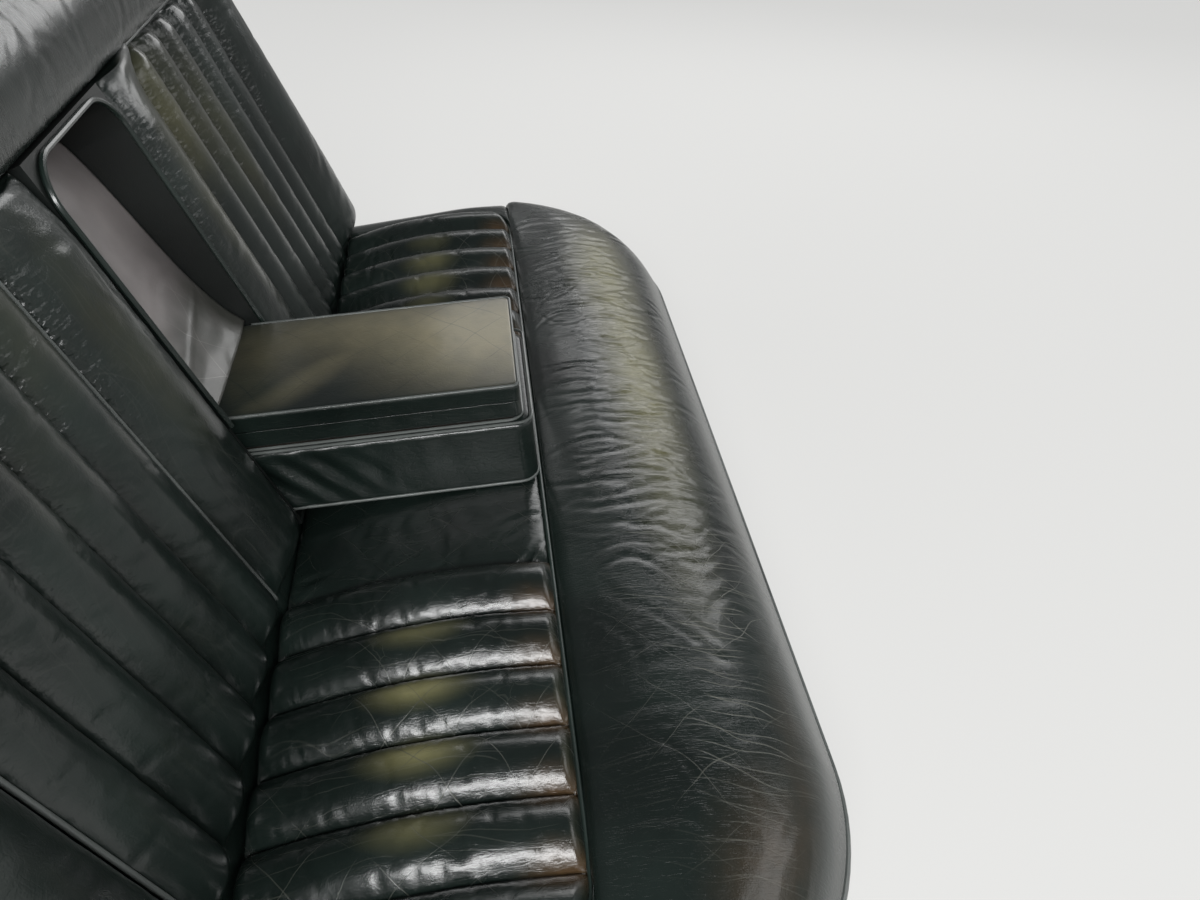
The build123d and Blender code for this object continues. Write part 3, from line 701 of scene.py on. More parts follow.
def channels(x, inner, pitch, count):
    """The number of the row that a place across is in, and its distance from the nearer channel."""
    row = np.floor(np.clip((x - inner) / pitch, 0, count - 1e-6))
    share = np.mod((x - inner) / pitch, 1.0)
    return row, np.minimum(share, 1 - share) * pitch


def puckers(place, spacing, seed):
    """Height of small gathers along a seam, from -1 to 1: five sine waves of unlike length and start."""
    rng = np.random.default_rng(seed)
    total = np.zeros(np.shape(place))
    for _ in range(5):
        total = total + np.sin(2 * pi * (place / (spacing * rng.uniform(0.7, 1.9)) + rng.uniform(0, 1)))
    return total / 3


def both_sides(half, sign=-1):
    """A line of values from the middle outwards, after its mirror image times a sign."""
    return np.concatenate([sign * half[:0:-1], half])


def corner_cut(distance, radius):
    """How much shorter a panel is at a distance from its side, where its corner is round."""
    return radius * (1 - rounded(distance, radius))


def arch_spread(along):
    """How far a seam beside a squab panel bends away at the round top corner, and how far up that is."""
    up = np.clip(along - (PANEL_TOP - ARCH_CORNER), 0, ARCH_CORNER)
    return ARCH_CORNER - np.sqrt(ARCH_CORNER**2 - up**2), up


class SEAT_OT_cushion_panels(bpy.types.Operator):
    """Makes the two fluted cushion panels: rows bowed up along their length, full up to the front seam"""

    bl_idname = "seat.cushion_panels"
    bl_label = "Cushion panels"

    def execute(self, context):
        size = context.scene.seat_sizes
        pitch = (PANEL_OUT - PANEL_IN) / size.cushion_flutes
        x = flute_columns(PANEL_IN, pitch, size.cushion_flutes, 20)[None, :]
        front = SEAM - SEAM_GAP - corner_cut(PANEL_OUT - x, PANEL_CORNER)
        forward = BITE_GAP + (front - BITE_GAP) * packed(0, 1, 110)[:, None]
        row, in_channel = channels(x, PANEL_IN, pitch, size.cushion_flutes)
        crown = size.bow * (1 - (2 * forward / SEAM - 1) ** 2)
        full = flute_profile(x, PANEL_IN, pitch) * rounded(front - forward, 0.010) * rounded(forward, 0.012)
        for side, sign in SIDES:
            seed = 11 if sign < 0 else 12
            area = (0.0, SEAM, PANEL_IN, PANEL_OUT)
            fold = creases(forward, x, seed, 90, area, (pi / 2, 0.5), (0.02, 0.07), (0.004, 0.010), 0.0005)
            gather = puckers(forward + 0.4 * row, 0.008, seed + 5) * near(in_channel, 0.013)
            rise = crown - size.channel + (FLUTE_RISE + ROW_PROUD + size.channel) * full
            rise = rise + (0.6 * size.gather * gather - fold) * full
            skin = on_cushion(sign * x, forward, rise)
            # Olive spots beside the channels: rubbed dye, brightened partly as painted sheen; the far panel
            # has half as much.
            beyond = PANEL_IN + pitch * np.arange(1, 5) + 0.021
            rubs_and_sheen = zip(beyond, (0.6, 1.1, 1.0, 0.5))
            spots = [(0.146, middle, 0.034, 0.016, amount) for middle, amount in rubs_and_sheen]
            front_rub = [(SEAM - 0.006, 0.42, 0.006, 0.2, 0.12)]
            wear_and_painted_light = patches(forward, x, spots + front_rub) * (1.0 if sign < 0 else 0.5)
            cracks = 0.15 + 0.30 * patches(forward, x, [(0.20, 0.42, 0.13, 0.20, 1.0)])
            name = "fluted_cushion_" + side
            scuffs = near(in_channel, 0.016) * near(front - forward - 0.016, 0.026)
            marks = {"wear_and_painted_light": wear_and_painted_light, "cracks": cracks, "folds": 0.06, "scuffs": scuffs}
            piece = stuffed(name, skin, CUSHION_DOWN, CUSHION_DOWN, marks)
            swollen(piece, (in_channel < 0.0012) | (front - forward < 0.002) | (forward < 0.012), 0.005)
            place(piece, "bench", "seat_leather", "cushion_hide", ["cushion_fluted_panel_" + side], 0.8)
        return {"FINISHED"}


class SEAT_OT_cushion_centre(bpy.types.Operator):
    """Makes the plain panel between the fluted ones, under the armrest"""

    bl_idname = "seat.cushion_centre"
    bl_label = "Cushion centre"

    def execute(self, context):
        size = context.scene.seat_sizes
        half = PANEL_IN - SIDE_GAP
        x = packed(-half, half, 120)[None, :]
        forward = packed(BITE_GAP, SEAM - SEAM_GAP, 90)[:, None]
        beside = eased((np.abs(x) - 0.10) / 0.03)
        area = (0, SEAM, -half, half)
        fold = creases(forward, x, 21, 70, area, (0.9, 0.6), (0.03, 0.1), (0.006, 0.014), 0.0012)
        rise = PANEL_CROWN * (1 - (2 * forward / SEAM - 1) ** 2) + beside * (0.002 - fold)
        skin = on_cushion(x, forward, rise)
        edges = [("start", 0.020, size.seam), ("end", 0.020, size.seam), ("last", 0.022, size.seam)]
        skin = tucked(skin, edges + [("first", 0.010, size.seam)], (0, 0, 1))
        marks = {"cracks": 0.2, "folds": 0.1}
        piece = stuffed("centre_cushion", skin, CUSHION_DOWN, CUSHION_DOWN, marks)
        place(piece, "bench", "seat_leather", "cushion_hide", ["cushion_centre_panel"], 0.8)
        return {"FINISHED"}


class SEAT_OT_front_roll(bpy.types.Operator):
    """Makes the plain roll along the front and round both corners"""

    bl_idname = "seat.front_roll"
    bl_label = "Front roll"

    def execute(self, context):
        front_y = low("cushion_front_roll")[1]
        seam_y = BITE_Y - SEAM * cos(SLOPE)
        nose = BITE_Y - front_y
        seam_z = SEAM * sin(SLOPE)
        steps = 130
        over = [(SEAM * cos(SLOPE), seam_z), ROLL_CREST, ROLL_SHOULDER, ROLL_NOSE, (nose, -HEM)]
        middle = through(over, steps)
        flat = seam_z + BORDER_RISE
        inner_end = HALF - 0.09
        turn = np.linspace(0, pi / 2, 9)[1:]
        wall = [(HALF - EDGE_ROUND * (1 - np.sin(a)), flat - EDGE_ROUND * (1 - np.cos(a))) for a in turn]
        end = evenly(np.array([(inner_end, flat), (HALF - EDGE_ROUND, flat), *wall, (HALF, -HEM)]), steps)
        share_middle = (middle[:, 0] - middle[0, 0]) / (middle[-1, 0] - middle[0, 0])
        share_end = (end[:, 0] - inner_end) / (HALF - inner_end)
        straight = HALF - PLAN_CORNER
        sweep = np.arccos((seam_y - (front_y + PLAN_CORNER)) / -PLAN_CORNER)
        bend = np.linspace(0, sweep, 70)[1:]
        level = np.linspace(0, straight, steps)
        rim_x = np.concatenate([level, straight + PLAN_CORNER * np.sin(bend)])
        rim_y = np.concatenate([np.full(steps, front_y), front_y + PLAN_CORNER - PLAN_CORNER * np.cos(bend)])
        inner_x = np.concatenate([level, straight + (inner_end - straight) * bend / sweep])
        weight = np.concatenate([np.zeros(steps), eased(bend / sweep)])
        rim_x, rim_y = both_sides(rim_x), both_sides(rim_y, 1)
        inner_x, weight = both_sides(inner_x), both_sides(weight, 1)[None, :]
        share = share_middle[:, None] * (1 - weight) + share_end[:, None] * weight
        z = BITE_Z + middle[:, 1:] * (1 - weight) + end[:, 1:] * weight
        x = inner_x + (rim_x - inner_x) * share
        y = seam_y + (rim_y - seam_y) * share
        skin = np.stack([x, y, z + 0 * x], axis=-1)
        row = np.linspace(0, 1, steps)[:, None] + 0 * x
        area, lie = (-0.25, 0.6, 0.05, 0.2), (pi / 2, 0.14)
        fold = creases(x, row * 0.3, 31, 190, area, lie, (0.03, 0.10), (0.006, 0.011), 0.0010)
        area, lie = (-0.55, -0.1, 0.05, 0.2), (pi / 2, 0.4)
        fold += creases(x, row * 0.3, 32, 60, area, lie, (0.04, 0.12), (0.009, 0.016), 0.0005)
        up = face_normals(skin)
        up = up * np.sign(up[..., 2].mean())
        skin = skin - up * fold[..., None]
        edges = [("first", 0.020, 0.008), ("last", 0.008, 0.004)]
        skin = tucked(skin, edges + [("start", 0.018, 0.008), ("end", 0.018, 0.008)], (0, -0.3, 1))
        inward = np.stack([-rim_x * 0.05, 0.035 + 0 * rim_x, 0 * rim_x], axis=-1)
        cracks = patches(x, row, [(-0.30, 0.52, 0.22, 0.26, 1.0), (0.3, 0.5, 0.3, 0.3, 0.2)])
        # Olive across the front roll's middle: rubbed dye and a painted sheen band.
        rubs_and_sheen = [(0.12, 0.52, 0.20, 0.13, 1.0), (0.40, 0.48, 0.14, 0.15, 0.9), (-0.16, 0.5, 0.2, 0.14, 0.22)]
        wear_and_painted_light = 0.8 * patches(x, row, rubs_and_sheen)
        folds = 0.08 + 0.4 * patches(x, row, [(0.10, 0.48, 0.26, 0.20, 1.0), (0.4, 0.4, 0.2, 0.2, 0.6)])
        # Brown at the roll's near end: scuffs, partly a painted warm gleam.
        scuffs = patches(x, row, [(-0.56, 0.55, 0.07, 0.16, 0.5), (-0.45, 0.72, 0.10, 0.08, 0.25)])
        marks = {"wear_and_painted_light": wear_and_painted_light, "cracks": cracks, "folds": folds, "scuffs": scuffs}
        piece = stuffed("front_roll", skin, (0, 0, -0.04), inward, marks)
        place(piece, "bench", "seat_leather", "roll_hide", ["cushion_front_roll"], 0.85)
        return {"FINISHED"}


class SEAT_OT_side_borders(bpy.types.Operator):
    """Makes the plain leather outside each cushion panel, round over the side of the cushion"""

    bl_idname = "seat.side_borders"
    bl_label = "Side borders"

    def execute(self, context):
        columns, rows = 90, 90
        run = SEAM * cos(SLOPE)
        straight = np.linspace(0, run - PANEL_CORNER, 50)
        bend = np.linspace(0, pi / 2, columns - 49)[1:]
        inner_f = np.concatenate([straight, run - PANEL_CORNER + PANEL_CORNER * np.sin(bend)])
        inner_x = np.concatenate([0 * straight + PANEL_OUT, PANEL_OUT - PANEL_CORNER * (1 - np.cos(bend))])
        rim_f = np.linspace(0, 1, columns) * run
        turn = np.linspace(0, pi / 2, 9)
        edge = [(HALF - EDGE_ROUND * (1 - np.sin(a)), -EDGE_ROUND * (1 - np.cos(a))) for a in turn]
        section = evenly(np.array([(HALF - 0.075, 0.0), *edge, (HALF, -0.083)]), rows)
        share = ((section[:, 0] - section[0, 0]) / 0.075)[:, None]
        forward = inner_f + (rim_f - inner_f) * share
        top = forward * tan(SLOPE) + BORDER_RISE
        drop = section[:, 1:] / 0.083
        z = np.where(drop > -0.999, top + (top + HEM) * drop, -HEM)
        back = np.minimum(z, 0) * tan(TILT)
        forward = forward * (1 + back / run) - back
        x = inner_x + SIDE_GAP + (HALF - inner_x) * share
        for side, sign in SIDES:
            skin = np.stack([sign * x, BITE_Y - BITE_GAP - forward, BITE_Z + z], axis=-1)
            edges = [("first", 0.016, 0.008), ("end", 0.012, 0.005), ("last", 0.008, 0.004)]
            skin = tucked(skin, edges, (sign * 0.4, 0, 1))
            inward = np.array([-sign * 0.03, 0.0, 0.0])
            name = "plain_border_" + side
            piece = stuffed(name, skin, (0, 0, -0.03), inward, {"cracks": 0.3})
            place(piece, "bench", "seat_leather", "cushion_hide", ["cushion_side_border_" + side], 0.8)
        return {"FINISHED"}


def squab_half(along):
    """Half width of the squab: straight below, then tapering to its top."""
    taper = SQUAB_TAPER / (SQUAB_TOP - WING_BEND)
    return HALF - taper * np.clip(along - WING_BEND, 0, None)


class SEAT_OT_squab_panels(bpy.types.Operator):
    """Makes the two fluted squab panels, with round top corners"""

    bl_idname = "seat.squab_panels"
    bl_label = "Squab panels"

    def execute(self, context):
        size = context.scene.seat_sizes
        inner = low("squab_fluted_panel_right")[0]
        pitch = (SQUAB_OUT - inner) / size.squab_flutes
        x = flute_columns(inner, pitch, size.squab_flutes, 20)[None, :]
        beside = np.minimum(x - inner, SQUAB_OUT - x)
        top = PANEL_TOP - SEAM_GAP - corner_cut(beside, ARCH_CORNER)
        along = SQUAB_BOTTOM + (top - SQUAB_BOTTOM) * packed(0, 1, 160)[:, None]
        row, in_channel = channels(x, inner, pitch, size.squab_flutes)
        full = flute_profile(x, inner, pitch) * rounded(top - along, 0.024) * rounded(along - 0.014, 0.022)
        for side, sign in SIDES:
            seed = 41 if sign < 0 else 42
            area = (0.02, PANEL_TOP, inner, SQUAB_OUT)
            fold = creases(along, x, seed, 180, area, (pi / 2, 0.4), (0.02, 0.07), (0.005, 0.012), 0.0006)
            gather = puckers(along + 0.4 * row, 0.014, seed + 5) * near(in_channel, 0.012)
            across_top = puckers(x, 0.013, seed + 6) * near(top - along, 0.028)
            gather = 0.4 * gather + 4.5 * across_top
            rise = -size.channel + (FLUTE_RISE + ROW_PROUD + size.channel) * full
            rise = rise + (0.25 * size.gather * gather - 0.4 * fold) * full
            skin = on_squab(sign * x, along, rise)
            # Olive on the squab panels' upper inner rows: worn tint and a painted warm sheen, stronger on the
            # far side.
            wear_and_painted_light = patches(along, x, [(0.38, 0.22, 0.09, 0.07, 0.32), (0.30, 0.36, 0.14, 0.08, 0.16)])
            wear_and_painted_light = wear_and_painted_light * (0.4 if sign < 0 else 1.0)
            gathers = eased((along - 0.10) / 0.30) * (0.15 + 0.85 * near(in_channel, 0.012))
            marks = {"wear_and_painted_light": wear_and_painted_light, "cracks": 0.05, "folds": 0.05, "gathers": gathers}
            piece = stuffed("fluted_squab_" + side, skin, SQUAB_BACKWARD, SQUAB_BACKWARD, marks)
            swollen(piece, (in_channel < 0.0012) | (top - along < 0.002) | (along < 0.03), 0.0015)
            place(piece, "bench", "seat_leather", "squab_hide", ["squab_fluted_panel_" + side], 0.8)
        return {"FINISHED"}


class SEAT_OT_squab_bolsters(bpy.types.Operator):
    """Makes the plain bolsters between the armrest's well and the fluted panels"""

    bl_idname = "seat.squab_bolsters"
    bl_label = "Squab bolsters"

    def execute(self, context):
        size = context.scene.seat_sizes
        inner = WELL_OUT + SIDE_GAP
        outer = low("squab_fluted_panel_right")[0] - SIDE_GAP
        along = packed(SQUAB_BOTTOM, PANEL_TOP - SEAM_GAP, 150)[None, :]
        bent, up = arch_spread(along)
        section = through([(0, BOLSTER_LIP), (0.38, BOLSTER_RISE), (0.75, 0.017), (1, 0.0)], 70)
        share = section[:, :1]
        x = inner + (outer + bent - inner) * share
        rise = section[:, 1:] + 0.006 * share * up / ARCH_CORNER
        press = rounded(along - 0.013, 0.03)
        valley = eased((along - 0.375) / 0.07)
        rise = rise * (1 - 0.45 * valley * (1 - share))
        for side, sign in SIDES:
            seed = 51 if sign < 0 else 52
            area = (0.02, PANEL_TOP, inner, outer)
            lie, long, wide = (0.7, 0.5), (0.03, 0.11), (0.007, 0.018)
            fold = creases(along, x, seed, 90, area, lie, long, wide, size.crease * 0.8)
            skin = on_squab(sign * x, along, (rise - fold * 0.2) * press - 0.001)
            edges = [("first", 0.016, 0.007), ("last", 0.014, 0.007), ("end", 0.016, 0.007)]
            skin = tucked(skin, edges, (0, -1, 0.4))
            # Olive on the bolster: worn tint and a painted sheen, stronger on the far side.
            wear_and_painted_light = 0.22 * patches(along, share, [(0.30, 0.55, 0.16, 0.30, 1.0)])
            wear_and_painted_light = wear_and_painted_light * (0.5 if sign < 0 else 1.0)
            gathers = (near(share, 0.22) + near(1 - share, 0.22)) * eased((along - 0.08) / 0.30)
            marks = {"wear_and_painted_light": wear_and_painted_light, "cracks": 0.10, "folds": 0.08, "gathers": gathers}
            piece = stuffed("bolster_" + side, skin, SQUAB_BACKWARD, SQUAB_BACKWARD, marks)
            place(piece, "bench", "seat_leather", "squab_hide", ["squab_bolster_" + side], 0.8)
        return {"FINISHED"}


class SEAT_OT_squab_wings(bpy.types.Operator):
    """Makes the plain wings outside the fluted panels and round the squab's sides"""

    bl_idname = "seat.squab_wings"
    bl_label = "Squab wings"

    def execute(self, context):
        size = context.scene.seat_sizes
        inner = SQUAB_OUT + SIDE_GAP
        along = packed(SQUAB_BOTTOM, PANEL_TOP - SEAM_GAP, 150)[None, :]
        start = inner - arch_spread(along)[0]
        rim = squab_half(along)
        section = through(
            [(0, 0), (0.2, 0.022), (0.45, WING_RISE), (0.72, 0.029), (0.93, 0.006), (1.0, -0.030)], 70
        )
        wall = np.stack([np.ones(40), np.linspace(-0.032, SQUAB_BACK, 40)], axis=1)
        section = np.vstack([section, wall])
        share, rise = section[:, :1], section[:, 1:]
        x = start + (rim - start) * share
        press = np.where(rise > 0, rounded(along - 0.013, 0.035), 1.0)
        for side, sign in SIDES:
            seed = 61 if sign < 0 else 62
            area = (0.02, PANEL_TOP, inner, HALF)
            lie, long, wide = (0.9, 0.5), (0.03, 0.10), (0.007, 0.018)
            fold = creases(along, x, seed, 90, area, lie, long, wide, size.crease * 0.7)
            fold = fold * (rise > -0.02)
            skin = on_squab(sign * x, along, rise * press - fold * press * 0.2 - 0.001 * (rise > -0.1))
            edges = [("first", 0.016, 0.007), ("end", 0.016, 0.007)]
            skin = tucked(skin, edges, (sign * 0.5, -1, 0.4))
            inward = np.array([-sign * 0.05, 0, 0])
            gathers = near(share, 0.12) * eased((along - 0.08) / 0.30)
            marks = {"cracks": 0.10, "folds": 0.08, "gathers": gathers}
            piece = stuffed("wing_" + side, skin, SQUAB_BACKWARD, inward, marks)
            place(piece, "bench", "seat_leather", "squab_hide", ["squab_wing_" + side], 0.8)
        return {"FINISHED"}


class SEAT_OT_top_roll(bpy.types.Operator):
    """Makes the roll along the top of the squab, over its top edge and round both corners"""

    bl_idname = "seat.top_roll"
    bl_label = "Top roll"

    def execute(self, context):
        size = context.scene.seat_sizes
        seam = PANEL_TOP + SEAM_GAP
        inner_end = squab_half(seam) - 0.075
        corner_x = squab_half(SQUAB_TOP - SQUAB_CORNER) - SQUAB_CORNER
        corner_s = SQUAB_TOP - SQUAB_CORNER
        top = np.linspace(0, corner_x, 110)
        bend = np.linspace(0, pi / 2, 44)[1:]
        side = np.linspace(corner_s, seam, 20)[1:]
        rim_x = np.concatenate([top, corner_x + SQUAB_CORNER * np.sin(bend), squab_half(side)])
        rim_s = np.concatenate([0 * top + SQUAB_TOP, corner_s + SQUAB_CORNER * np.cos(bend), side])
        extra = np.linspace(0, 1, len(bend) + len(side) + 1)[1:]
        inner_x = np.concatenate([top, corner_x + (inner_end - corner_x) * extra])
        weight = np.concatenate([0 * top, eased(extra)])
        rim_x, inner_x = both_sides(rim_x), both_sides(inner_x)
        rim_s, weight = both_sides(rim_s, 1), both_sides(weight, 1)
        middle = through([(0, VALLEY), (0.38, 0.027), (0.72, 0.018), (0.94, -0.006), (1, -0.036)], 80)
        end = through([(0, 0.026), (0.3, 0.027), (0.66, 0.020), (0.93, -0.004), (1, -0.036)], 80)
        wall = np.stack([np.ones(40), np.linspace(-0.040, SQUAB_BACK, 40)], axis=1)
        middle, end = np.vstack([middle, wall]), np.vstack([end, wall])
        share = middle[:, :1] * (1 - weight) + end[:, :1] * weight
        rise = middle[:, 1:] * (1 - weight) + end[:, 1:] * weight
        x = inner_x + (rim_x - inner_x) * share
        along = seam + (rim_s - seam) * share
        area = (-0.6, 0.6, seam, SQUAB_TOP)
        lie, long, wide = (pi / 2, 0.5), (0.03, 0.10), (0.007, 0.018)
        fold = creases(x, along, 71, 120, area, lie, long, wide, size.crease * 0.7)
        skin = on_squab(x, along, rise - 0.35 * fold * (rise > -0.02))
        skin = tucked(skin, [("first", 0.020, 0.008)], (0, -0.6, 0.8))
        inward = on_squab(0, -0.05, 0) - on_squab(0, 0, 0)
        marks = {"cracks": 0.08, "folds": 0.05 + 0.25 * near(share, 0.16)}
        piece = stuffed("top_roll", skin, SQUAB_BACKWARD, inward, marks)
        place(piece, "bench", "seat_leather", "roll_hide", ["squab_top_roll"], 0.85)
        return {"FINISHED"}


class SEAT_OT_squab_lower(bpy.types.Operator):
    """Makes the plain band under the armrest's well"""

    bl_idname = "seat.squab_lower"
    bl_label = "Lower band"

    def execute(self, context):
        size = context.scene.seat_sizes
        half = high("squab_lower_band")[0]
        x = packed(-half, half, 60)[None, :]
        top = (high("squab_lower_band")[2] - BITE_Z) / cos(TILT) - 0.001
        along = packed(SQUAB_BOTTOM, top, 40)[:, None]
        skin = on_squab(x, along, -0.002)
        edges = [("start", 0.01, size.seam), ("end", 0.01, size.seam), ("last", 0.012, size.seam)]
        skin = tucked(skin, edges, (0, -1, 0.4))
        piece = stuffed("lower_band", skin, SQUAB_BACKWARD, SQUAB_BACKWARD)
        place(piece, "bench", "seat_leather", "squab_hide", ["squab_lower_band"], 0.8)
        return {"FINISHED"}


def boxed_outline(reach, half, corner, start):
    """Outline of a pad from above, from the middle of its rear round its right side and back."""
    turn = np.linspace(0, pi / 2, 12)[:, None]
    front, side = reach - corner, half - corner
    rear = np.linspace(0, half, 26)[:-1, None] * [1, 0] + [0, start]
    right = np.linspace(start, front, 76)[:-1, None] * [0, 1] + [half, 0]
    arc = np.hstack([side + corner * np.cos(turn), front + corner * np.sin(turn)])
    nose = np.linspace(side, 0, 26)[1:, None] * [1, 0] + [0, reach]
    line = np.vstack([rear, right, arc, nose])
    return np.vstack([line, (line * [-1, 1])[-2:0:-1]])


def boxed_pad(rise_low, rise_high, reach, half, edge, corner, crown, waves):
    """A boxed pad of the armrest: its outline carried in over the top and the bottom, and round over both
    edges. The rear is cut to the round about the pivot. The top swells by a crown and the sides pull in
    between the edges; waves are added across the sides."""
    radius = ARMREST_RADIUS - SEAM_GAP
    outline = boxed_outline(reach, half, corner, -radius)
    middle = (reach - radius) / 2
    long = (reach + radius) / 2 - half
    reached = middle + long * np.clip((outline[:, 1] - middle) / long, -1, 1)
    spine = np.stack([0 * outline[:, 0], reached], axis=1)
    quarter = np.linspace(0, pi / 2, 8)
    flat = np.linspace(half, edge, 34)[:-1]
    insets = np.concatenate([flat, edge * (1 - np.sin(quarter))])
    drop = np.concatenate([0 * flat, edge * (1 - np.cos(quarter))])
    wall = np.linspace(rise_high - edge, rise_low + edge, 26)[1:-1]
    insets = np.concatenate([insets, 0 * wall, insets[::-1]])
    heights = np.concatenate([rise_high - drop, wall, rise_low + drop[::-1]])
    share = (insets / half)[:, None, None]
    plan = outline[None] * (1 - share) + spine[None] * share
    x, along = plan[..., 0], plan[..., 1]
    deep = np.clip((heights - rise_low) / (rise_high - rise_low), 0, 1)[:, None]
    waist = 4 * deep * (1 - deep)
    beside = (insets < edge)[:, None] * waist
    x = x - np.sign(x) * beside * (0.0012 + waves(along, heights[:, None])) * (np.abs(x) > half - 0.012)
    along = along - beside * 0.001 * (along > reach - 0.012)
    rise = heights[:, None] + 0 * x
    on_top = (deep > 0.5) * 1.0
    full = (1 - (x / half) ** 2) * np.clip(1 - ((along - middle) / (middle + radius)) ** 2, 0, 1)
    rise = rise - on_top * crown * (1 - full)
    limit = np.sqrt(np.clip(radius**2 - np.clip(-along, 0, radius) ** 2, 0, None))
    return x, along, np.clip(rise, -limit, limit)


class SEAT_OT_armrest(bpy.types.Operator):
    """Makes the armrest's two pads and the piping on their edges"""

    bl_idname = "seat.armrest"
    bl_label = "Armrest"

    def execute(self, context):
        top = ARMREST_RADIUS

        def calm(along, height):
            return 0.0003 * puckers(along, 0.03, 83)

        def wrinkled(along, height):
            rear = eased((0.17 - along) / 0.12)
            lean = along + 0.9 * height
            return 0.0006 * puckers(along, 0.04, 84) + rear * 0.0028 * np.sin(lean * 2 * pi / 0.036)

        pieces = (
            ("armrest_top_pad", "armrest_upper_pad", top - 0.043, top, UPPER_PAD, 0.0045, 0.0018, calm),
            ("armrest_base_pad", "armrest_lower_pad", -top, top - 0.050, LOWER_PAD, 0.007, 0.0, wrinkled),
        )
        for name, node, rise_low, rise_high, (reach, half, corner), edge, crown, waves in pieces:
            x, along, rise = boxed_pad(rise_low, rise_high, reach, half, edge, corner, crown, waves)
            points = on_armrest(x, along, rise).reshape(-1, 3)
            faces = tube_faces(*x.shape, False, True)
            on_top = (rise > rise_high - 0.004) * (node == "armrest_upper_pad")
            # Painted sheen on the top face only: brightest at the front right, with one slanting streak,
            # fading towards the side edges.
            rubs_and_sheen = [(0.27, 0.02, 0.11, 0.095, 0.95), (0.12, 0.06, 0.10, 0.06, 0.40)]
            rubs_and_sheen += [(0.02, 0.0, 0.05, 0.09, 0.15)]
            sheen_streak = patches(along - 0.9 * x, x, [(0.115, -0.01, 0.034, 0.085, 0.38)])
            wear_and_painted_light = np.maximum(patches(along, x, rubs_and_sheen), sheen_streak) * rounded(half - np.abs(x), 0.016) * on_top
            marks = {"wear_and_painted_light": wear_and_painted_light, "cracks": 0.04 + 0 * x, "folds": 0.05 + 0.1 * (1 - on_top)}
            piece = mesh_object(name, points, faces, marks)
            place(piece, "armrest", "seat_leather", "armrest_sheen_hide", [node], 0.8)
        rims = (
            ("armrest_top_piping", top - 0.0026, UPPER_PAD, 0.0017),
            ("armrest_base_piping", 0.0026 - top, LOWER_PAD, 0.0020),
        )
        for name, rise, (reach, half, corner), thick in rims:
            outline = boxed_outline(reach - 0.0012, half - 0.0012, corner, 0.0)[25:-24]
            line = on_armrest(outline[:, 0], outline[:, 1], rise)
            place(cord_mesh(name, line, thick), "armrest", "piping", "piping_highlight_hide")
        return {"FINISHED"}


class SEAT_OT_seam_piping(bpy.types.Operator):
    """Makes the piping in the seams round the fluted panels"""

    bl_idname = "seat.seam_piping"
    bl_label = "Seam piping"

    def execute(self, context):
        size = context.scene.seat_sizes
        turn = np.linspace(0, pi / 2, 16)[:, None]
        bent = PANEL_CORNER * (1 - np.hstack([np.cos(turn), np.sin(turn)]))
        corner = np.array([PANEL_OUT, SEAM]) - bent
        half_line = np.vstack([[(PANEL_OUT, 0.012)], corner, [(0.3, SEAM), (0.1, SEAM), (0.0, SEAM)]])
        whole = evenly(np.vstack([half_line, (half_line * [-1, 1])[-2::-1]]), 420)
        crown = size.bow * (1 - (2 * whole[:, 1] / SEAM - 1) ** 2)
        line = on_cushion(whole[:, 0], whole[:, 1], crown - 0.0026)
        place(cord_mesh("cushion_seam_piping", line, size.welt), "bench", "piping", "seam_hide")
        inner = low("squab_fluted_panel_right")[0]
        reach = PANEL_TOP - ARCH_CORNER
        left = np.hstack([inner + ARCH_CORNER * (1 - np.cos(turn)), reach + ARCH_CORNER * np.sin(turn)])
        right = np.hstack([SQUAB_OUT - ARCH_CORNER * (1 - np.cos(turn)), reach + ARCH_CORNER * np.sin(turn)])
        arch = evenly(np.vstack([[(inner, 0.015)], left, right[::-1], [(SQUAB_OUT, 0.015)]]), 330)
        for side, sign in SIDES:
            line = on_squab(sign * arch[:, 0], arch[:, 1], 0.0002)
            name = "squab_arch_piping_" + side
            place(cord_mesh(name, line, size.welt), "bench", "piping", "piping_highlight_hide")
        return {"FINISHED"}


